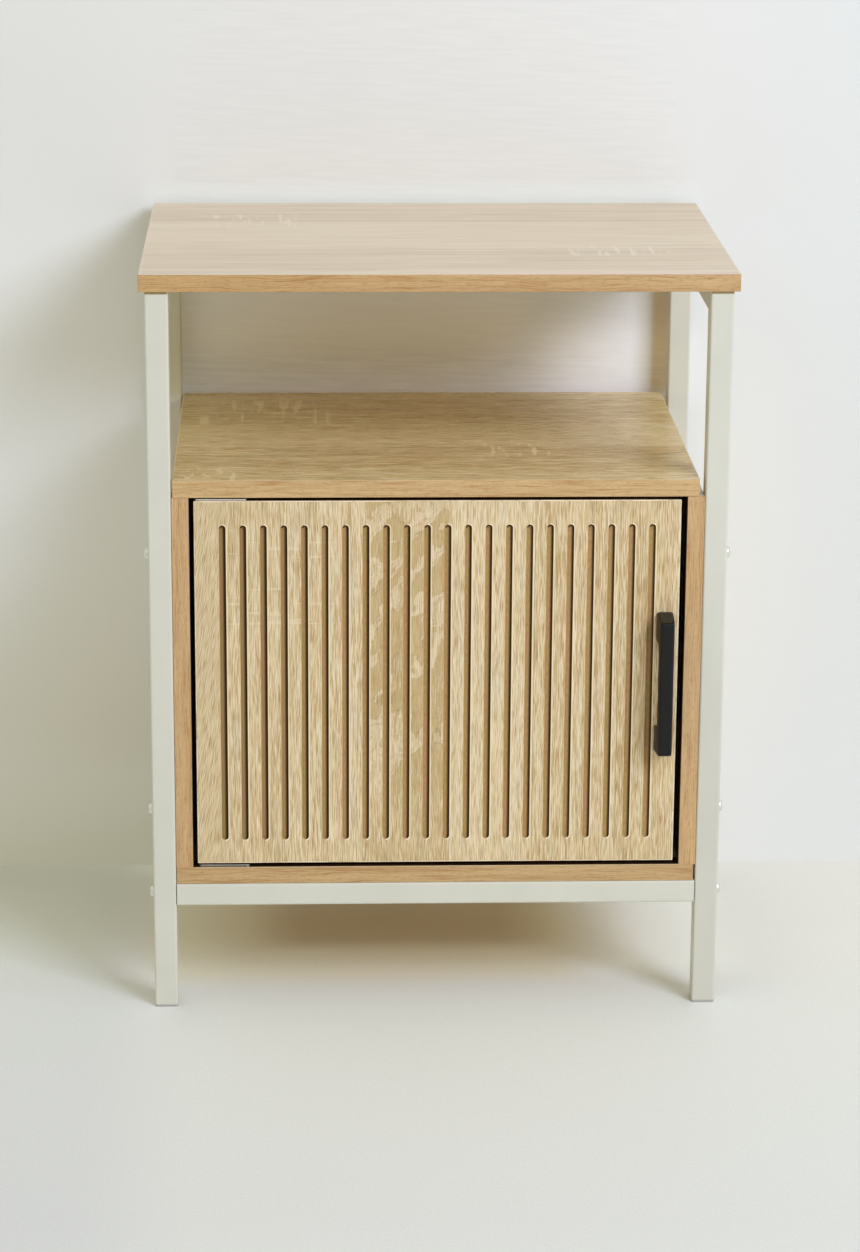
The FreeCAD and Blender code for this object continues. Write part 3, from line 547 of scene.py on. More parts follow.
def groove_distance(across, up):
    """How far a point is to the right of the nearest groove's middle, and outside its outline.

    The outline's distance is the distance to the groove's middle line, less half its width.
    The height above or below the straight stretch counts only beyond its ends.
    """
    first, low, high = groove_places()
    pitch = GROOVE_PITCH / MM
    last = GROOVE_COUNT - 1
    steps = (across - first / MM) / pitch
    nearest = (steps + 0.5).whole().larger(0.0)
    nearest = last - (last - nearest).larger(0.0)
    beside = (steps - nearest) * pitch
    beyond = (abs(up - (low + high) / 2 / MM) - (high - low) / 2 / MM).larger(0.0)
    return beside, (beside ** 2 + beyond ** 2) ** 0.5 - GROOVE_WIDTH / 2 / MM


def groove_finish(shader, across, up, beside, outside):
    """Bare mottled fibreboard, darker towards the door's left end, with painted shadow along the
    right wall and round the upper end.
    """
    tint = colours().groove
    mottle = shader.noise(across * 0.6, 2.0, up * 0.25, 3.0)
    bare = mottle.streaks(0.35, 0.65, tint, 0.88, 1.10)
    cast = shader.noise(across * 0.05, 3.0, up * 0.02, 1.0)
    cast = cast.ramp((0.40, (1.0, 0.94, 0.98)), (0.60, (0.95, 1.0, 0.90)))
    bare = bare.mix(1 - across.rise(-210, -50), tinted(tint, 0.72))
    bare = bare.times(cast)
    top = groove_places()[2] / MM
    # Painted shadow over the right part of each groove, moving further right across the door, and
    # under the groove's upper end
    shadow_share = (beside - (across + 190) * 0.0024).rise(-0.9, 1.4)
    upper = up.rise(top - 1.0, top + 0.6) * outside.rise(-2.6, -1.2)
    return bare.mix(shadow_share.larger(upper) * 0.94, colours().groove_shadow)


def edge_strip(
    name, along_axes, across_axis, pale=None, dark=None, upward_highlight=None, stain=None, fade=()
):
    """Beech edge strip: wavy lines under 1 mm wide, and short dark flecks.

    The grain runs along the sum of the given coordinates, so that it turns the corners of a
    board. Faces that look upward get a painted highlight in their own colour where one is
    given. The function given for the gap works out where its painted shadow goes. fade is an
    axis, two places on it and their two tints.
    """
    shader = Shader(name)
    places = shader.millimetres()
    along = sum((places[axis] for axis in along_axes[1:]), places[along_axes[0]])
    across = places[across_axis]
    pale = pale or colours().beech_pale
    dark = dark or colours().beech_dark
    wave = shader.noise(2.0, across * 0.05, along * 0.012, 1.0) * 8
    lines = shader.noise(5.0, (across + wave) * 1.1, along * 0.028, 3.0, 0.6)
    bands = shader.noise(7.0, (across + wave) * 0.18, along * 0.006, 1.0)
    flecks = shader.noise(8.0, (across + wave) * 2.0, along * 0.16, 1.0)
    flecks = flecks.rise(0.58, 0.68)
    wood = (lines + (bands - 0.5) * 0.45).ramp(
        (0.32, tinted(dark, 1.25)),
        (0.48, tinted(pale, 0.95)),
        (0.68, tinted(pale, 1.12)),
    )
    wood = wood.mix(flecks * 0.6, dark)
    if fade:
        axis, low, high, low_tint, high_tint = fade
        tint = shader.mix(places[axis].rise(low, high), low_tint, high_tint)
        wood = wood.times(tint)
    # Painted highlight on faces that look upward
    if upward_highlight:
        wood = wood.mix(facing(shader, Z).rise(0.55, 0.85), upward_highlight)
    # Painted shadow where the door's gap is
    if stain:
        wood = wood.mix(stain(places), colours().gap_shadow)
    return shader.finish(
        Base_Color=wood,
        Roughness=0.42 + flecks * 0.1,
        Normal=shader.bump(lines, 0.00004),
    )


def facing(shader, axis):
    """How far the surface faces along an axis: 1 straight along it, and -1 against it."""
    normal = shader.add("ShaderNodeNewGeometry", output="Normal")
    return shader.add("ShaderNodeSeparateXYZ", inputs={0: normal}, output=axis)


def powder_coat(name, tint, roughness, dimple, specular=0.5, retinted=False):
    """Powder coat: an even colour with fine orange-peel dimples.

    With the zones, the coat has a painted shadow line on the legs' front faces under the top
    board, painted shade at the feet, painted warm shade on the rear left leg above the shelf,
    painted light on the rear right one, and right legs darker towards the bottom.
    """
    shader = Shader(name)
    places = shader.millimetres()
    peel = shader.noise(*(place * 1.4 for place in places))
    cloud = shader.noise(*(place * 0.02 for place in places))
    base = cloud.streaks(0.3, 0.7, tint, 0.975, 1.02)
    if retinted:
        low, high = millimetre_box("left_front_leg")
        # Painted shadow line at the top of the legs' front faces, under the top board
        top = (0.46, 0.36, 0.18), (Z, high[Z] - 1.8, None, 0.8), (Y, None, low[Y] + 0.3, 0.3)
        base = base.mix_zones(places, (top, *COAT_PAINTED_SHADE_AND_LIGHT))
    return shader.finish(
        Base_Color=base,
        Roughness=roughness + (peel - 0.5) * 0.08,
        Specular_IOR_Level=specular,
        Normal=shader.bump(peel, dimple),
    )


def plated_steel(name, tint, roughness, stained=False):
    """Plated steel with faint brushing and small spots. Where asked for, faces that look forward
    get painted shadow.
    """
    shader = Shader(name)
    x, y, z = shader.millimetres()
    brush = shader.noise(x * 0.4, y * 3.0, z * 3.0, 3.0)
    base = brush.streaks(0.3, 0.7, tint, 0.86, 1.08)
    # Painted shadow on the front faces, where the shelf or the door overhangs the plate
    if stained:
        front = (facing(shader, Y) * -1).rise(0.5, 0.8)
        base = base.mix(front, colours().gap_shadow)
    return shader.finish(
        Base_Color=base,
        Metallic=1.0,
        Roughness=roughness + (brush - 0.5) * 0.2,
        Normal=shader.bump(brush, 0.00002),
    )


def moulded(name, tint, roughness):
    """Moulded plastic or ceramic with a fine grain."""
    shader = Shader(name)
    grain = shader.noise(*(place * 2.5 for place in shader.millimetres()), 3.0)
    base = grain.streaks(0.3, 0.7, tint, 0.92, 1.06)
    return shader.finish(
        Base_Color=base, Roughness=roughness, Normal=shader.bump(grain, 0.00003)
    )


def hardboard(name):
    """Thin back: printed oak towards the cabinet and bare brown fibres behind."""
    shader = Shader(name)
    across, through, up = shader.millimetres()
    wood, pores = oak_grain(shader, across, through, up, 21.0, BACK_PLANKS, PLAIN)
    fibres = shader.noise(across * 0.5, 4.0, up * 0.5, 5.0, 0.7)
    spots = shader.noise(across * 0.06, 6.0, up * 0.06)
    bare = fibres.ramp((0.36, paint(146, 110, 74)), (0.64, paint(186, 150, 110)))
    bare = bare.mix(spots * 0.35, paint(170, 132, 92))
    rear = millimetre_box("back_panel")[1][Y]
    behind = through.rise(*(rear - depth for depth in BARE_BACK))
    return shader.finish(
        Base_Color=wood.mix(behind, bare),
        Roughness=0.5 + behind * 0.3,
        Normal=shader.bump(fibres * behind + pores * -1 * (1 - behind), 0.00008),
    )


ZINC = (0.84, 0.83, 0.78)

FINISH_MAKERS = {
    "top_oak": lambda name: oak_board(
        name, "x", 2.0, TOP_PLANKS, FAINT, TOP_RAYS, sheen=0.5, roughness=0.48, specular=0.4
    ),
    "shelf_oak": lambda name: oak_board(
        name, "x", 6.0, SHELF_PLANKS, EVEN, SHELF_RAYS, zones=SHELF_TINT_AND_PAINTED_LIGHT, specular=0.32
    ),
    # The bottom board and the side panels get painted shadow round the door's gap
    "board_oak": lambda name: oak_board(name, "x", 9.0, BOARD_PLANKS, PLAIN, stained=True),
    "panel_oak": lambda name: oak_board(name, "z", 31.0, PANEL_PLANKS, PLAIN, stained=True),
    "door_oak": door_finish,
    # The level boards' edge strips get a painted highlight on faces that look upward
    "beech_top": lambda name: edge_strip(
        name, (X, Y), Z, upward_highlight=tinted(colours().top_sheen, 0.96),
        fade=(X, -230, 200, (0.94, 0.90, 0.80), (0.98, 0.98, 0.98)),
    ),
    "beech_level": lambda name: edge_strip(
        name, (X, Y), Z, upward_highlight=tinted(colours().oak_middle, 0.95),
        fade=(Z, 200, 400, (0.94, 0.96, 0.94), (1.04, 1.08, 1.06)),
    ),
    # The side panels' edge strips get painted shadow round the door's gap
    "beech_upright": lambda name: edge_strip(name, (Z,), X, stain=round_gap),
    # The door's sides get painted shadow behind their front edge
    "oak_door_edge": lambda name: edge_strip(
        name, (X, Z), Y, tinted(colours().oak_pale, 1.05), colours().oak_dark,
        stain=behind_door_front,
    ),
    "back_board": hardboard,
    "dowel_wood": lambda name: edge_strip(name, (Z,), X),
    # The frame's coat, with its painted shade and light
    "frame_coat": lambda name: powder_coat(name, colours().frame, 0.34, 0.00002, retinted=True),
    "black_coat": lambda name: powder_coat(name, colours().handle, 0.36, 0.00003, 0.3),
    "zinc_steel": lambda name: plated_steel(name, ZINC, 0.32),
    # Hinge plates with painted shadow on their front faces, under the shelf and under the door
    "stained_zinc": lambda name: plated_steel(name, ZINC, 0.5, stained=True),
    "cast_zinc": lambda name: plated_steel(name, (0.55, 0.55, 0.55), 0.45),
    "ferrite": lambda name: moulded(name, (0.06, 0.06, 0.065), 0.6),
    "black_plastic": lambda name: moulded(name, (0.03, 0.03, 0.03), 0.5),
    "grey_plastic": lambda name: moulded(name, paint(168, 164, 162), 0.6),
    "white_plastic": lambda name: moulded(name, (0.75, 0.74, 0.71), 0.4),
}

NODE_FINISH = {
    "top_oak": ("top_board",),
    "shelf_oak": ("shelf_board",),
    "board_oak": ("bottom_board",),
    "panel_oak": ("left_side_panel", "right_side_panel"),
    "back_board": ("back_panel",),
    "dowel_wood": ("dowels",),
    "frame_coat": (
        "left_front_leg", "left_rear_leg", "right_front_leg", "right_rear_leg",
        "left_top_rail", "right_top_rail", "left_lower_rail", "right_lower_rail",
        "front_base_rail", "rear_base_rail",
    ),
    "zinc_steel": (
        "cam_bolts", "cabinet_screws", "panel_insert_nuts", "catch_pole_plates", "strike_plate",
        "upper_hinge_door_plate", "lower_hinge_frame_plate", "hinge_pins",
    ),
    "stained_zinc": ("upper_hinge_frame_plate", "lower_hinge_door_plate"),
    "cast_zinc": ("cam_discs",),
    "ferrite": ("catch_magnet",),
    "black_plastic": ("rail_end_nuts",),
    "grey_plastic": ("foot_glides",),
    "white_plastic": ("catch_body", "hinge_washers"),
}


def finish_of(name):
    """The material of that name, made when it is first asked for."""
    return bpy.data.materials.get(name + FINISH_ENDING) or FINISH_MAKERS[name](name)


def dress(*finishes):
    """Gives the CAD nodes that NODE_FINISH lists under these finishes their material."""
    for finish in finishes:
        for node in NODE_FINISH[finish]:
            NODES[node].data.materials.clear()
            NODES[node].data.materials.append(finish_of(finish))


# Surfaces

WELD_DISTANCE = 2e-7
SLIVER_LENGTH = 1e-7
SHARP_ANGLE = 35.0
ARRIS_POINTS = 6

# Decimals, in metres, to which places count as the same, and to which solids are put in order
PLACE_DECIMALS = 6
ORDER_DECIMALS = 4


def grid_faces(rows, columns, wrap_rows=False, wrap_columns=False):
    """Corner numbers of the quads between neighbouring points of a grid."""
    row = np.arange(rows if wrap_rows else rows - 1)[:, None]
    column = np.arange(columns if wrap_columns else columns - 1)[None, :]
    next_row = (row + 1) % rows
    next_column = (column + 1) % columns
    corners = [
        row * columns + column, row * columns + next_column,
        next_row * columns + next_column, next_row * columns + column,
    ]
    return np.stack(corners, axis=-1).reshape(-1, 4)


def lofted(rings, close_rings=False, caps=True):
    """Points and faces of a surface through closed rings, an array of rings by points by 3."""
    count, around = rings.shape[:2]
    faces = grid_faces(count, around, wrap_rows=close_rings, wrap_columns=True).tolist()
    if caps and not close_rings:
        faces.append(list(range(around))[::-1])
        faces.append(list(range((count - 1) * around, count * around)))
    return rings.reshape(-1, 3), faces


def linked(made):
    """Puts a new object into the scene."""
    bpy.context.scene.collection.objects.link(made)
    return made


def piece(name, patches, finish, body, replaced, sharp=SHARP_ANGLE):
    """One object from patches of points and faces, welded, turned outwards and smoothed."""
    points = []
    faces = []
    start = 0
    for patch_points, patch_faces in patches:
        points.append(patch_points)
        faces += [[corner + start for corner in face] for face in patch_faces]
        start += len(patch_points)
    mesh = bpy.data.meshes.new(name)
    mesh.from_pydata(np.concatenate(points).tolist(), [], faces)
    shape = bmesh.new()
    shape.from_mesh(mesh)
    bmesh.ops.remove_doubles(shape, verts=shape.verts, dist=WELD_DISTANCE)
    bmesh.ops.dissolve_degenerate(shape, edges=shape.edges, dist=SLIVER_LENGTH)
    bmesh.ops.recalc_face_normals(shape, faces=shape.faces)
    shape.to_mesh(mesh)
    shape.free()
    mesh.polygons.foreach_set("use_smooth", np.ones(len(mesh.polygons), bool))
    mesh.set_sharp_from_angle(angle=math.radians(sharp))
    made = linked(bpy.data.objects.new(name, mesh))
    made.data.materials.append(finish_of(finish))
    weighted = made.modifiers.new("Even shading", "WEIGHTED_NORMAL")
    weighted.keep_sharp = True
    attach(made, body)
    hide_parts(replaced)


def place_axes(first, second, third, axes=(X, Y, Z)):
    """Stacks three arrays as coordinates along the given axes."""
    stacked = np.empty((*np.broadcast(first, second, third).shape, 3))
    for values, axis in zip((first, second, third), axes):
        stacked[..., axis] = values
    return stacked


def flat_patch(first, second, place):
    """A flat grid over two sets of values; place turns the grid's values into points."""
    grid = np.meshgrid(first, second, indexing="ij")
    return place(*grid).reshape(-1, 3), grid_faces(*grid[0].shape).tolist()


def quarter(radius, count):
    """The two coordinates of points on a quarter circle, which meets two straight lines.

    The first is the radius times one less the sine, and falls from the radius to 0. The
    second is the radius times one less the cosine, and climbs from 0 to the radius.
    """
    turns = np.linspace(0, math.pi / 2, count)
    return radius * (1 - np.sin(turns)), radius * (1 - np.cos(turns))


def there_and_back(values):
    """The values, and then the same ones in reverse."""
    return np.concatenate((values, values[::-1]))


def edge_band(board, edging, axes):
    """Edge strips all round a board, as one ring that is closed both ways.

    Along the ring the path is a rectangle with rounded corners in the plane of the first two
    axes. Across it the profile is a rectangle of the strip's thickness by the board's, whose
    two outer corners are quarter circles. A profile point that lies d inside the board's edge
    follows the path with its corner radius made smaller by d.
    """
    low, high = box_of(edging)
    corner = sizes().corner
    thickness = box_of(board)[0][X] - low[X]
    height = high[axes[2]] - low[axes[2]]
    fall, climb = quarter(sizes().arris, ARRIS_POINTS)
    inset = np.concatenate(([thickness], fall, climb, [thickness]))
    level = np.concatenate(([0], climb, height - fall, [height]))
    turns = np.linspace(0, math.pi / 2, ARRIS_POINTS)
    angles = np.concatenate([turns + number * math.pi / 2 for number in range(4)])
    signs = np.repeat(np.array(((1, 1), (-1, 1), (-1, -1), (1, -1))), ARRIS_POINTS, axis=0)
    half = [(high[axis] - low[axis]) / 2 for axis in axes[:2]]
    middle = [(high[axis] + low[axis]) / 2 for axis in axes[:2]]
    radius = np.maximum(corner - inset, 0.0)[:, None]
    reach = np.minimum(corner, corner - inset)[:, None] - radius
    first = middle[0] + signs[:, 0] * (half[0] - corner + reach) + radius * np.cos(angles)
    second = middle[1] + signs[:, 1] * (half[1] - corner + reach) + radius * np.sin(angles)
    third = low[axes[2]] + level[:, None]
    return lofted(place_axes(first, second, third, axes), close_rings=True)


def upright_strip(low, high, outward):
    """A thin upright strip, its profile a rectangle with two rounded outer corners.

    outward is FRONT where the rounded side faces -Y, and REAR where it faces +Y.
    """
    fall, climb = quarter(sizes().arris, ARRIS_POINTS)
    outer, inner = (low[Y], high[Y]) if outward == FRONT else (high[Y], low[Y])
    x = np.concatenate((low[X] + fall[::-1], high[X] - climb[::-1], [high[X], low[X]]))
    y = np.concatenate((outer - outward * climb[::-1], outer - outward * fall[::-1], [inner] * 2))
    rings = [place_axes(x, y, np.full_like(x, z)) for z in (low[Z], high[Z])]
    return lofted(np.array(rings))


def turned(centre, axis, rings):
    """A surface through rings in a screw's own frame, moved into place.

    The third coordinate of a ring's points is the height along the axis. The other two
    directions are any pair at right angles to it.
    """
    axis = np.array(axis, float)
    side = np.array((0.0, 0.0, 1.0)) if abs(axis[Z]) < 0.5 else np.array((1.0, 0.0, 0.0))
    basis = np.stack((side, np.cross(axis, side), axis))
    return lofted(np.array(rings) @ basis + np.array(centre))


def circle(angles, radius, height):
    """A ring of points at the given angles."""
    return place_axes(radius * np.cos(angles), radius * np.sin(angles), height)


def islands(node):
    """Lowest and highest corners of a CAD node's separate solids.

    Points at the same place share a number. Then the two ends of each edge take the lower
    one of their numbers, over and over, until every solid has one number of its own.
    """
    mesh = NODES[node].data
    points = np.empty((len(mesh.vertices), 3), np.float32)
    mesh.vertices.foreach_get("co", points.ravel())
    ends = np.empty((len(mesh.edges), 2), np.int32)
    mesh.edges.foreach_get("vertices", ends.ravel())
    same = np.unique(np.round(points, PLACE_DECIMALS), axis=0, return_inverse=True)[1].reshape(-1)
    ends = same[ends]
    number = np.arange(same.max() + 1)
    while (number[ends[:, 0]] != number[ends[:, 1]]).any():
        lower = number[ends].min(axis=1)
        np.minimum.at(number, ends[:, 0], lower)
        np.minimum.at(number, ends[:, 1], lower)
    solids = [points[number[same] == own].astype(float) for own in np.unique(number)]
    found = [(solid.min(axis=0), solid.max(axis=0)) for solid in solids]
    return sorted(found, key=lambda box: tuple(np.round(box[0], ORDER_DECIMALS)))


# Door

GROOVE_COUNT = 22
GROOVE_PITCH = 17.35 * MM
GROOVE_WIDTH = 5.4 * MM
GROOVE_DEPTH = 3.0 * MM
GROOVE_END_MARGIN = 21.5 * MM
GROOVE_FLOOR_ROUNDING = 0.6 * MM
GROOVE_ARRIS_POINTS = 5
GROOVE_FLOOR_POINTS = 4
END_POINTS = 15


def groove_places():
    """Middle of the first groove, and the heights where a groove's round ends begin."""
    low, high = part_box("door_edging")
    first = (low.x + high.x) / 2 - (GROOVE_COUNT - 1) * GROOVE_PITCH / 2
    margin = GROOVE_END_MARGIN + GROOVE_WIDTH / 2
    return first, low.z + margin, high.z - margin


def stadium(half_width, low, high):
    """Outline of a round-ended slot: a half circle above high and another below low."""
    turns = np.linspace(0, math.pi, END_POINTS)
    x = half_width * np.concatenate((np.cos(turns), -np.cos(turns)))
    z = np.concatenate((high + half_width * np.sin(turns), low - half_width * np.sin(turns)))
    return x, z


def groove_cell(centre, across, low, high):
    """The stretch of the door's face that holds one groove, and the groove's inside.

    across has the points along the cell's upper and lower edge. low and high are the corners
    of the door's panel. The rings run from the cell's rectangle to the slot's outline, over a
    quarter circle into the groove, down its wall, over a smaller quarter circle, and across
    the floor to its middle line.
    """
    half = GROOVE_WIDTH / 2
    front = low[Y]
    _, slot_low, slot_high = groove_places()
    x = there_and_back(np.concatenate((across[:1], across, across[-1:])))
    flat = np.ones(len(across))
    upper = ([slot_high], flat * high[Z], [slot_high])
    z = np.concatenate((*upper, [slot_low], flat * low[Z], [slot_low]))
    rings = [place_axes(x, front, z)]
    fall, climb = quarter(sizes().groove_arris, GROOVE_ARRIS_POINTS)
    floor_fall, floor_climb = quarter(GROOVE_FLOOR_ROUNDING, GROOVE_FLOOR_POINTS)
    reach = np.concatenate((fall, -floor_climb, [-half]))
    depth = np.concatenate((climb, GROOVE_DEPTH - floor_fall, [GROOVE_DEPTH]))
    for extra, sunk in zip(reach, depth):
        x, z = stadium(half + extra, slot_low, slot_high)
        rings.append(place_axes(centre + x, front + sunk, z))
    return lofted(np.array(rings), caps=False)


def door_panel(low, high):
    """The door between its edge strips: one cell for each groove, then sides and back."""
    first, slot_low, slot_high = groove_places()
    centres = first + np.arange(GROOVE_COUNT) * GROOVE_PITCH
    bounds = np.concatenate(([low[X]], centres[:-1] + GROOVE_PITCH / 2, [high[X]]))
    steps = np.linspace(bounds[1:], bounds[:-1], END_POINTS - 2, axis=1)
    patches = [groove_cell(centre, across, low, high) for centre, across in zip(centres, steps)]
    columns = np.unique(np.round(steps, 9))
    rows = np.array((low[Z], slot_low, slot_high, high[Z]))
    ends = (low[Y], high[Y])
    patches.append(flat_patch(columns, rows, lambda x, z: place_axes(x, high[Y], z)))
    for box in (low, high):
        patches.append(flat_patch(columns, ends, lambda x, y: place_axes(x, y, box[Z])))
        patches.append(flat_patch(rows, ends, lambda z, y: place_axes(box[X], y, z)))
    return patches


# Handle

HANDLE_FOOT_HEIGHT = 23.5 * MM
HANDLE_BAR_DEPTH = 9.0 * MM
HANDLE_BAR_WIDTH = 12.2 * MM
HANDLE_TAPER = 2.8 * MM
HANDLE_NOTCH = 3.0 * MM
HANDLE_END_ROUNDING = 3.0 * MM
SECTION_CORNER_POINTS = 10
HANDLE_TURN_POINTS = 8
HANDLE_SHARP_ANGLE = 50.0


def rounded_section(half_back, half_front, back, front, radius, height):
    """A ring at one height: a rectangle that narrows from back to front, with round corners.

    Each corner is a quarter circle. Front corners have the whole radius, and back corners
    have a third of it.
    """
    fall, climb = quarter(radius, SECTION_CORNER_POINTS)
    back_fall, back_climb = quarter(radius / 3, SECTION_CORNER_POINTS)
    left = (fall - half_front, back_climb - half_back)
    x = np.concatenate((half_front - fall[::-1], *left, half_back - back_fall))
    y = np.concatenate((front + climb[::-1], front + climb, back - back_fall, back - back_climb))
    return place_axes(x, y, height)


def bridge_handle(low, high):
    """The handle: a section carried from its lower end to its upper one.

    On its way the section's back goes from the door to the rear of the bar and out again,
    over a quarter circle at each foot. At the ends the front draws back by the end's own
    rounding and the taper, and the sides draw in by the edge's rounding.
    """
    face, front = high[Y], low[Y]
    foot_half = (high[X] - low[X]) / 2
    bar_half = HANDLE_BAR_WIDTH / 2
    edge = sizes().handle_edge
    shrink, ends = quarter(edge, HANDLE_TURN_POINTS)
    notch_fall, notch_climb = quarter(HANDLE_NOTCH, HANDLE_TURN_POINTS)
    foot = low[Z] + HANDLE_FOOT_HEIGHT
    heights = np.concatenate((low[Z] + ends, [foot], foot + notch_climb))
    heights = np.concatenate((heights, (low[Z] + high[Z]) - heights[::-1]))
    inset = there_and_back(np.concatenate((shrink, np.zeros(1 + HANDLE_TURN_POINTS))))
    notch_back = front + HANDLE_BAR_DEPTH + notch_fall
    backs = there_and_back(np.concatenate((np.full(len(ends) + 1, face), notch_back)))
    rings = []
    for height, pull, back in zip(heights, inset, backs):
        share = (back - face) / (front - face)
        half_back = foot_half + (bar_half - foot_half) * share - pull
        rings.append(rounded_section(half_back, bar_half - pull, back, front, edge, height))
    rings = np.array(rings)
    from_end = np.minimum(rings[:, :, Z] - low[Z], high[Z] - rings[:, :, Z])
    forward = (face - rings[:, :, Y]) / (face - front)
    squeeze = 1 - HANDLE_TAPER * forward / ((high[Z] - low[Z]) / 2)
    centre = (low[Z] + high[Z]) / 2
    rings[:, :, Z] = centre + (rings[:, :, Z] - centre) * squeeze
    near_end = np.clip(1 - from_end / HANDLE_END_ROUNDING, 0, 1)
    rings[:, :, Y] += HANDLE_END_ROUNDING * (1 - np.sqrt(1 - near_end ** 2)) * forward
    rings[:, :, X] += (low[X] + high[X]) / 2
    return lofted(rings)


# Bolts and screws

BOLT_SHANK = 3.0 * MM
BOLT_SIDES = 48
SOCKET_DEPTH = 2.0 * MM
SOCKET_CONE = 0.2 * MM
SOCKET_BEVEL = (0.2 * MM, 0.15 * MM)
SOCKET_RIM = 0.7 * MM
DOME_EDGE = 0.35 * MM
SHANK_BEVEL = 0.5 * MM
POINT_SHARE = 0.02
DOME_POINTS = 9

# Parts of a cross recess, as shares of its reach
RECESS_HALF_WIDTH = 0.26
RECESS_FLOOR_REACH = 0.55
RECESS_FLOOR_HALF_WIDTH = 0.16
RECESS_DEPTH = 0.75
RECESS_TIP_DEPTH = 0.8
RECESS_TIP = 0.05

RECESS_BEVEL = 0.05 * MM
PAN_EDGE = 0.25 * MM
PAN_POWER = 0.7
PAN_START = 0.45
PAN_POINTS = 6
FLAT_HEAD_TOP = 0.97
FLAT_HEAD_EDGE = 0.12 * MM
SCREW_POINT_LENGTH = 1.5
SCREW_POINT_RADIUS = 0.1


def bolt_rings(radius, dome, reach):
    """Rings of a domed bolt with a hexagonal socket, from the socket's floor to the shank's end.

    The dome is an arc from the rim to the flat round the socket. The socket's wall is a
    hexagon: at angle t its radius is the apothem divided by the cosine of t folded into 60
    degrees.
    """
    apothem = sizes().socket_width / 2
    angles = np.linspace(0, 2 * math.pi, BOLT_SIDES + 1)[:-1]
    folded = (angles + math.pi / 6) % (math.pi / 3) - math.pi / 6
    hexagon = apothem / np.cos(folded)
    flat = apothem + SOCKET_RIM
    turns = np.linspace(0, math.pi / 2, DOME_POINTS)
    outline = [
        (hexagon * POINT_SHARE, dome - SOCKET_DEPTH - SOCKET_CONE),
        (hexagon, dome - SOCKET_DEPTH),
        (hexagon, dome - SOCKET_BEVEL[1]),
        (hexagon + SOCKET_BEVEL[0], dome),
        *(
            (flat + (radius - flat) * math.sin(t), DOME_EDGE + (dome - DOME_EDGE) * math.cos(t))
            for t in turns
        ),
        (radius, 0.0),
        (BOLT_SHANK, 0.0),
        (BOLT_SHANK, SHANK_BEVEL - reach),
        (BOLT_SHANK - SHANK_BEVEL, -reach),
    ]
    return [circle(angles, width, height) for width, height in outline]


def cross_outline(arm, half_width):
    """Outline of a cross, with a point in the middle of each of its twelve edges."""
    arm_end = np.array(((arm, -half_width), (arm, half_width), (half_width, half_width)))
    turns = [(math.cos(t), math.sin(t)) for t in np.arange(4) * math.pi / 2]
    corners = np.concatenate([arm_end @ np.array(((c, s), (-s, c))) for c, s in turns])
    middles = (corners + np.roll(corners, -1, axis=0)) / 2
    return np.stack((corners, middles), axis=1).reshape(-1, 2)


def screw_rings(radius, dome, shank, reach, recess):
    """Rings of a cross-recessed screw, from the recess's floor to the tip.

    dome is the head's height above its seat, and it is negative in a countersunk head, whose
    top is flush and whose cone is that deep. A domed head's height falls with a power of the
    cosine of its angle. Every ring has its points at the angles of the cross's outline, so
    the recess blends into the round head.
    """
    mouth = cross_outline(recess, recess * RECESS_HALF_WIDTH)
    floor = cross_outline(recess * RECESS_FLOOR_REACH, recess * RECESS_FLOOR_HALF_WIDTH)
    angles = np.arctan2(mouth[:, 1], mouth[:, 0])
    top = max(dome, 0.0)
    crosses = (
        (floor * RECESS_TIP, top - recess * RECESS_TIP_DEPTH),
        (floor, top - recess * RECESS_DEPTH),
        (mouth, top - RECESS_BEVEL),
    )
    rings = [place_axes(*points.T, height) for points, height in crosses]
    if dome > 0:
        outline = [
            (radius * math.sin(t), PAN_EDGE + (dome - PAN_EDGE) * math.cos(t) ** PAN_POWER)
            for t in np.linspace(PAN_START, 1, PAN_POINTS) * math.pi / 2
        ]
        outline += [(radius, 0.0), (shank, 0.0)]
    else:
        outline = [(radius * FLAT_HEAD_TOP, 0.0), (radius, -FLAT_HEAD_EDGE), (shank, dome)]
    outline += [
        (shank, shank * SCREW_POINT_LENGTH - reach), (shank * SCREW_POINT_RADIUS, -reach)
    ]
    return rings + [circle(angles, width, height) for width, height in outline]


# Operators


class SIDETABLE_OT_frame(Operator):
    """Finish the tube frame, its glides and its plugs"""

    bl_idname = "sidetable.frame"
    bl_label = "Tube frame"
    bl_options = {"REGISTER", "UNDO"}

    def execute(self, context):
        dress("frame_coat", "black_plastic", "grey_plastic")
        return {"FINISHED"}


class SIDETABLE_OT_boards(Operator):
    """Finish the three level boards and give them rounded edge strips"""

    bl_idname = "sidetable.boards"
    bl_label = "Level boards"
    bl_options = {"REGISTER", "UNDO"}

    def execute(self, context):
        dress("top_oak", "shelf_oak", "board_oak")
        for board in ("top_board", "shelf_board", "bottom_board"):
            edging = board + "_edging"
            band = edge_band(board, edging, (X, Y, Z))
            finish = "beech_top" if board == "top_board" else "beech_level"
            piece(board + "_edge_band", [band], finish, "cabinet", edging)
        return {"FINISHED"}


class SIDETABLE_OT_sides(Operator):
    """Finish the side panels and give them rounded edge strips"""

    bl_idname = "sidetable.sides"
    bl_label = "Side panels"
    bl_options = {"REGISTER", "UNDO"}

    def execute(self, context):
        dress("panel_oak")
        for side in ("left", "right"):
            edging = side + "_side_panel_edging"
            strips = [
                upright_strip(low, high, FRONT if low[Y] < 0 else REAR)
                for low, high in islands(edging)
            ]
            name = side + "_side_edge_strips"
            piece(name, strips, "beech_upright", "cabinet", edging)
        return {"FINISHED"}


class SIDETABLE_OT_back(Operator):
    """Finish the thin back panel"""

    bl_idname = "sidetable.back"
    bl_label = "Back panel"
    bl_options = {"REGISTER", "UNDO"}

    def execute(self, context):
        dress("back_board")
        return {"FINISHED"}


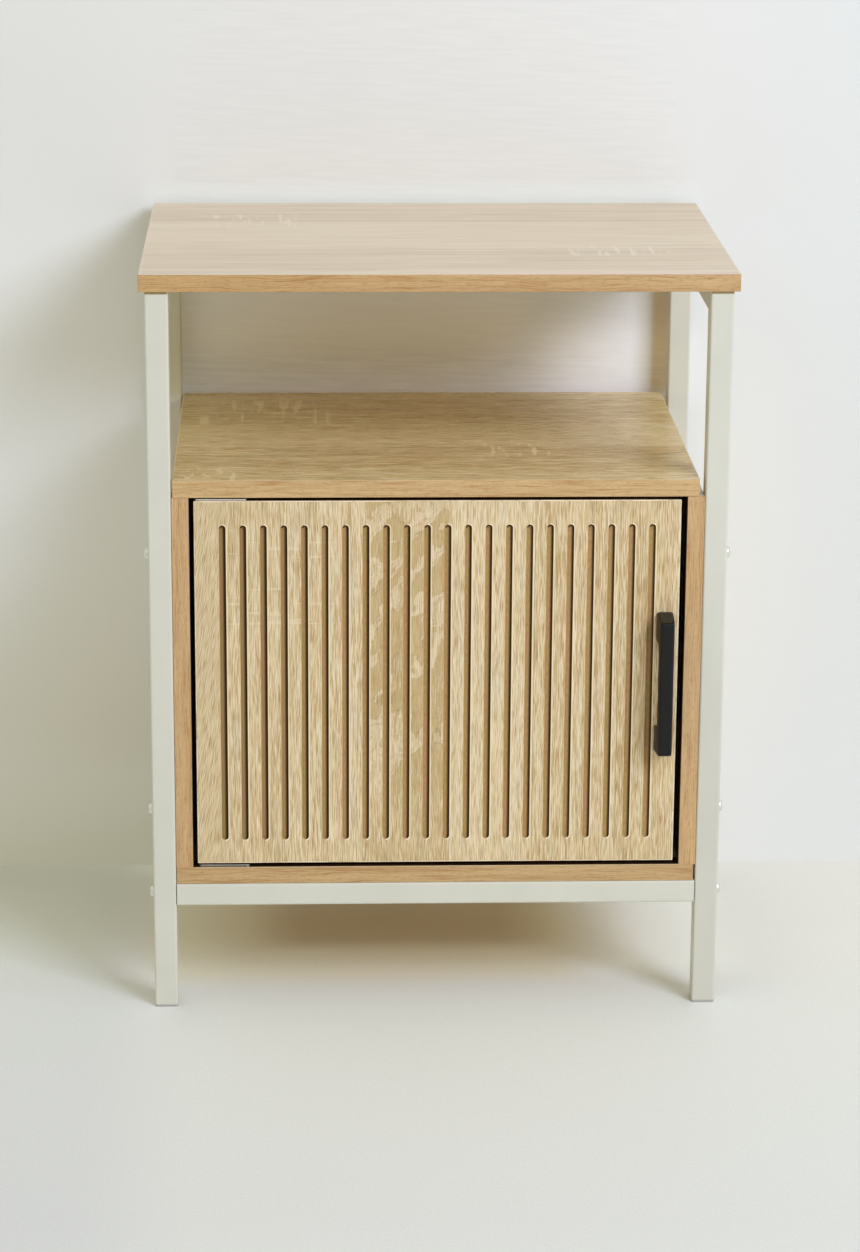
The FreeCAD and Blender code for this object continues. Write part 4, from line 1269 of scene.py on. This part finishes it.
class SIDETABLE_OT_door(Operator):
    """Shape the grooved door with rounded groove edges"""

    bl_idname = "sidetable.door"
    bl_label = "Door"
    bl_options = {"REGISTER", "UNDO"}

    def execute(self, context):
        band = edge_band("door_panel", "door_edging", (X, Z, Y))
        piece("door_edge_band", [band], "oak_door_edge", "door", "door_edging")
        panel = door_panel(*box_of("door_panel"))
        piece("grooved_door", panel, "door_oak", "door", "door_panel")
        return {"FINISHED"}


class SIDETABLE_OT_handle(Operator):
    """Shape the cast bar handle"""

    bl_idname = "sidetable.handle"
    bl_label = "Handle"
    bl_options = {"REGISTER", "UNDO"}

    def execute(self, context):
        shape = bridge_handle(*box_of("door_handle"))
        piece(
            "bar_handle", [shape], "black_coat", "door", "door_handle",
            HANDLE_SHARP_ANGLE,
        )
        return {"FINISHED"}


class SIDETABLE_OT_bolts(Operator):
    """Make the domed bolts of the frame with their hexagonal sockets"""

    bl_idname = "sidetable.bolts"
    bl_label = "Frame bolts"
    bl_options = {"REGISTER", "UNDO"}

    def execute(self, context):
        for side, sign in (("left", -1), ("right", 1)):
            node = side + "_frame_bolts"
            seat = max(abs(corner.x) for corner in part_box(side + "_front_leg"))
            patches = []
            for low, high in islands(node):
                inside, outside = sorted((abs(low[X]), abs(high[X])))
                rings = bolt_rings((high[Z] - low[Z]) / 2, outside - seat, seat - inside)
                centre = (sign * seat, (low[Y] + high[Y]) / 2, (low[Z] + high[Z]) / 2)
                patches.append(turned(centre, (sign, 0, 0), rings))
            piece(side + "_domed_bolts", patches, "zinc_steel", "cabinet", node)
        return {"FINISHED"}


LOW_END, HIGH_END, FOUND = -1, 1, 0

# Screws by node: body, axis, the end that the head is at (or FOUND, where it is worked out
# from the screw's place), then the head's radius and height and the shank's radius, in
# millimetres
SCREWS = {
    "top_board_screws": ("cabinet", Z, LOW_END, 4.4, 1.9, 2.0),
    "bottom_board_screws": ("cabinet", Z, LOW_END, 4.4, 1.9, 2.0),
    "handle_screws": ("door", Y, HIGH_END, 4.4, 1.9, 2.0),
    "hinge_frame_screws": ("cabinet", Z, FOUND, 2.8, -1.3, 1.5),
    "hinge_door_screws": ("door", Z, FOUND, 2.8, -1.3, 1.5),
    "catch_screws": ("cabinet", Z, LOW_END, 2.8, -2.0, 1.5),
    "strike_screw": ("door", Y, HIGH_END, 2.8, -1.2, 1.5),
}
LARGE_HEAD = 4.0
SMALL_RECESS = 0.62


class SIDETABLE_OT_screws(Operator):
    """Make the cross-recessed screws that can be seen"""

    bl_idname = "sidetable.screws"
    bl_label = "Screws"
    bl_options = {"REGISTER", "UNDO"}

    def execute(self, context):
        door_middle = sum(box_of("door_panel"))[Z] / 2
        for node, (body, axis, head_end, radius, dome, shank) in SCREWS.items():
            recess = sizes().recess_arm * (1 if radius > LARGE_HEAD else SMALL_RECESS)
            proud = max(dome, 0.0) * MM
            patches = []
            for low, high in islands(node):
                centre = (low + high) / 2
                faces_down = (centre[Z] > door_middle) == (body == "cabinet")
                head = head_end or (LOW_END if faces_down else HIGH_END)
                centre[axis] = high[axis] - proud if head == HIGH_END else low[axis] + proud
                direction = np.zeros(3)
                direction[axis] = head
                reach = high[axis] - low[axis] - proud
                rings = screw_rings(radius * MM, dome * MM, shank * MM, reach, recess)
                patches.append(turned(centre, direction, rings))
            piece(node + "_crossed", patches, "zinc_steel", body, node)
        return {"FINISHED"}


class SIDETABLE_OT_fittings(Operator):
    """Finish the hinges, the magnet catch and the joinery"""

    bl_idname = "sidetable.fittings"
    bl_label = "Hinges, catch and joinery"
    bl_options = {"REGISTER", "UNDO"}

    def execute(self, context):
        dress("zinc_steel", "stained_zinc", "cast_zinc", "ferrite", "white_plastic", "dowel_wood")
        return {"FINISHED"}


# Stage

CAMERA_PLACE = (-0.118317, -3.101300, 1.206813)
CAMERA_YAW = math.radians(2.173)
CAMERA_PITCH = math.radians(16.311)
CAMERA_ROLL = math.radians(0.350)
CAMERA_LENS = 103.497
CAMERA_SENSOR = 36.0
CAMERA_REACH = 100.0
HORIZON_LIGHT = (0.58, 0.49, 0.31)
ZENITH_LIGHT = (0.71, 0.74, 0.66)
KEY_PLACE = (2.35, -3.20, 2.65)
KEY_TARGET = (0.0, 0.0, 0.35)
KEY_SIZE = 1.7
KEY_POWER = 100.0
KEY_TINT = (0.92, 0.99, 1.26)
WALL_Y = 0.197
FLOOR_HALF = 9.0
WALL_HALF = 4.0
WALL_HEIGHT = 3.0

# Painted light that makes the floor brighter on the way to the rear, and painted shadow on its left
# side: where the way starts and how long it is, in millimetres, and then shares of the way with
# each one's factors
FLOOR_START, FLOOR_RUN = -600, 800
FLOOR_PAINTED_LIGHT_TONES = ((0.0, (1.0, 0.99, 1.03)), (0.56, (1.10, 1.10, 1.12)), (0.74, (1.15, 1.13, 1.17)))
LEFT_START, LEFT_RUN = -200, 360
LEFT_PAINTED_SHADOW_TONES = ((0.15, (0.93, 0.93, 0.96)), (0.55, (0.85, 0.87, 0.83)), (1.0, (0.70, 0.71, 0.64)))
LEFT_END = (-310, -190)

# Under the table: painted warm bounce light, painted shadow in the middle, and painted light under
# the right side
FLOOR_PAINTED_SHADE_AND_LIGHT = (
    ((1.0, 0.955, 0.80), (X, -220, 100, 60), (Y, -80, 220, 50)),
    ((0.78, 0.71, 0.68), (X, -110, 60, 70), (Y, 0, 130, 40)),
    ((1.13, 1.15, 1.12), (X, 180, 240, 70), (Y, -60, 90, 60)),
)
# On the wall: painted light in the shade to the left of the table and in the niche's right side,
# and painted shade towards the right
WALL_PAINTED_LIGHT_AND_SHADE_TONES = (
    ((1.06, 1.085, 1.14), (X, None, -260, 100), (Z, 330, 430, 210)),
    ((1.16, 1.17, 1.19), (X, 150, 215, 70), (Z, 480, 510, 40)),
    ((0.90, 0.92, 0.94), (X, 420, None, 180)),
)
# On the wall: painted light in the niche and along the top board's rear edge, and the painted
# shadow of the rear right leg
WALL_PAINTED_LIGHT_AND_SHADE_ZONES = (
    ((1.10, 1.09, 1.06), (X, -200, 60, 60), (Z, 530, 600, 40)),
    ((1.10, 1.16, 1.17), (X, -225, 225, 50), (Z, 640, 650, 24)),
    ((0.90, 0.77, 0.57), (X, 217, 227, 7), (Z, 476, 640, 12)),
)


def flat_sheet(name, corners, material):
    """A single flat face that isn't part of the table."""
    mesh = bpy.data.meshes.new(name)
    mesh.from_pydata(corners, [], [(0, 1, 2, 3)])
    made = linked(bpy.data.objects.new(name, mesh))
    made.data.materials.append(material)


def grey(level):
    """A colour with three equal channels."""
    return (level, level, level)


class SIDETABLE_OT_stage(Operator):
    """Set up the plain floor and wall, the soft light and the camera"""

    bl_idname = "sidetable.stage"
    bl_label = "Stage"
    bl_options = {"REGISTER", "UNDO"}

    def execute(self, context):
        self.floor()
        self.wall()
        self.world()
        self.lamp()
        self.camera()
        bpy.context.scene.view_settings.view_transform = "Standard"
        return {"FINISHED"}

    def floor(self):
        """A floor that gets brighter from front to rear, with painted shadow under the table and to
        its left, and painted light under its right side.
        """
        shader = Shader("plain_floor")
        places = shader.millimetres()
        x, y, _ = places
        cloud = shader.noise(x * 0.004, y * 0.004, 0.0)
        tint = colours().floor
        # Painted light towards the rear, and painted shadow to the table's left
        base = (y - FLOOR_START) * (1 / FLOOR_RUN) + (cloud - 0.5) * 0.1
        base = base.ramp(*((place, tinted(tint, *factors)) for place, factors in FLOOR_PAINTED_LIGHT_TONES))
        left = ((y - LEFT_START) * (1 / LEFT_RUN)).ramp(*LEFT_PAINTED_SHADOW_TONES)
        base = base.times(left, 1 - x.rise(*LEFT_END))
        base = base.mix_zones(places, FLOOR_PAINTED_SHADE_AND_LIGHT)
        grit = shader.noise(x * 0.5, y * 0.3, 2.0)
        grit = grit.ramp((0.3, grey(0.97)), (0.7, grey(1.03)))
        base = base.times(grit)
        material = shader.finish(Base_Color=base, Roughness=0.7)
        half = FLOOR_HALF
        corners = ((-half, -half, 0), (half, -half, 0), (half, half, 0), (-half, half, 0))
        flat_sheet("floor", corners, material)

    def wall(self):
        """A wall that shows from the front only.

        Seen from behind it is clear. Light passes through it too, except in the open niche,
        where it closes the niche's rear, so that the table's back is lit from behind.
        """
        shader = Shader("plain_wall")
        places = shader.millimetres()
        x, _, up = places
        tint = colours().wall
        # Painted shade that darkens the wall towards the top and a little towards the right
        climb = (up - 450) * (1 / 300) + x * 0.0003
        base = climb.ramp((0.0, tint), (0.9, tinted(tint, 0.93, 0.93, 0.95)))
        tones = [(tinted(tint, *factors), *sides) for factors, *sides in WALL_PAINTED_LIGHT_AND_SHADE_TONES]
        base = base.mix_zones(places, tones, "MIX")
        base = base.mix_zones(places, WALL_PAINTED_LIGHT_AND_SHADE_ZONES)
        ripples = shader.noise(x * 0.02, 4.0, up * 0.3 + x * 0.01)
        ripples = ripples.ramp((0.34, grey(0.95)), (0.66, grey(1.05)))
        share = (0.35 + up.window(470, 500, 14) * 0.65) * x.window(-225, 225, 10)
        base = base.times(ripples, share)
        plaster = {"Base Color": base, "Roughness": 0.8}
        plaster = shader.add("ShaderNodeBsdfPrincipled", inputs=plaster)
        clear = shader.add("ShaderNodeBsdfTransparent")
        niche = up.window(465, 645, 10)
        seen = shader.add("ShaderNodeLightPath", output="Is Camera Ray")
        mirrored = shader.add("ShaderNodeLightPath", output="Is Glossy Ray")
        behind = shader.add("ShaderNodeNewGeometry", output="Backfacing")
        solid = (niche + seen + mirrored).above(0.5) * (1 - behind)
        surface = shader.add("ShaderNodeMixShader", inputs={0: solid, 1: clear, 2: plaster})
        low = [(side * WALL_HALF, WALL_Y, 0) for side in (-1, 1)]
        high = [(side * WALL_HALF, WALL_Y, WALL_HEIGHT) for side in (1, -1)]
        flat_sheet("wall", low + high, shader.show(surface))

    def world(self):
        """Soft light from all round, with one tint near the horizon and another from above."""
        world = bpy.data.worlds.new("soft_room")
        bpy.context.scene.world = world
        world.use_nodes = True
        shader = Shader("", world.node_tree)
        direction = shader.add("ShaderNodeTexCoord", output="Generated")
        up = shader.add("ShaderNodeSeparateXYZ", inputs={0: direction}, output=Z)
        tint = shader.mix(up.rise(0.10, 0.65), HORIZON_LIGHT, ZENITH_LIGHT)
        light = shader.add("ShaderNodeBackground", inputs={"Color": tint, "Strength": 1.0})
        shader.add("ShaderNodeOutputWorld", inputs={"Surface": light})

    def lamp(self):
        """A square lamp that faces the table from the right and above."""
        data = bpy.data.lights.new("key_lamp", "AREA")
        data.shape = "SQUARE"
        data.size = KEY_SIZE
        data.energy = KEY_POWER
        data.color = KEY_TINT
        lamp = linked(bpy.data.objects.new("key_lamp", data))
        lamp.rotation_mode = "QUATERNION"
        back = Vector(KEY_PLACE) - Vector(KEY_TARGET)
        lamp.rotation_quaternion = back.to_track_quat("Z", "Y")
        lamp.location = KEY_PLACE

    def camera(self):
        """A camera that looks down at the table, turned a little to the right."""
        data = bpy.data.cameras.new("camera")
        data.lens = CAMERA_LENS
        data.sensor_width = CAMERA_SENSOR
        data.clip_end = CAMERA_REACH
        camera = linked(bpy.data.objects.new("camera", data))
        turn = Matrix.Rotation(-CAMERA_YAW, 4, "Z")
        tilt = Matrix.Rotation(math.pi / 2 - CAMERA_PITCH, 4, "X")
        roll = Matrix.Rotation(CAMERA_ROLL, 4, "Z")
        camera.matrix_world = Matrix.Translation(CAMERA_PLACE) @ turn @ tilt @ roll
        bpy.context.scene.camera = camera


class SIDETABLE_PT_panel(Panel):
    """Sidebar panel with the sizes, the colours and the building steps"""

    bl_idname = "SIDETABLE_PT_panel"
    bl_label = "Side Table"
    bl_space_type = "VIEW_3D"
    bl_region_type = "UI"
    bl_category = "Side Table"

    def draw(self, context):
        for group in (context.scene.side_table_sizes, context.scene.side_table_colours):
            box = self.layout.box()
            for key in group.__annotations__:
                box.prop(group, key)
        for operator in BUILD_ORDER:
            self.layout.operator(operator.bl_idname)


BUILD_ORDER = (
    SIDETABLE_OT_frame,
    SIDETABLE_OT_boards,
    SIDETABLE_OT_sides,
    SIDETABLE_OT_back,
    SIDETABLE_OT_door,
    SIDETABLE_OT_handle,
    SIDETABLE_OT_bolts,
    SIDETABLE_OT_screws,
    SIDETABLE_OT_fittings,
    SIDETABLE_OT_stage,
)
CLASSES = (SIDETABLE_sizes, SIDETABLE_colours, *BUILD_ORDER, SIDETABLE_PT_panel)


def register():
    """Adds the classes and the settings to Blender."""
    for item in CLASSES:
        bpy.utils.register_class(item)
    bpy.types.Scene.side_table_sizes = PointerProperty(type=SIDETABLE_sizes)
    bpy.types.Scene.side_table_colours = PointerProperty(type=SIDETABLE_colours)


def unregister():
    """Removes them again."""
    del bpy.types.Scene.side_table_colours
    del bpy.types.Scene.side_table_sizes
    for item in reversed(CLASSES):
        bpy.utils.unregister_class(item)


def main():
    """Builds the table and its stage."""
    register()
    for operator in BUILD_ORDER:
        group, name = operator.bl_idname.split(".")
        getattr(getattr(bpy.ops, group), name)()


if __name__ == "__main__":
    main()
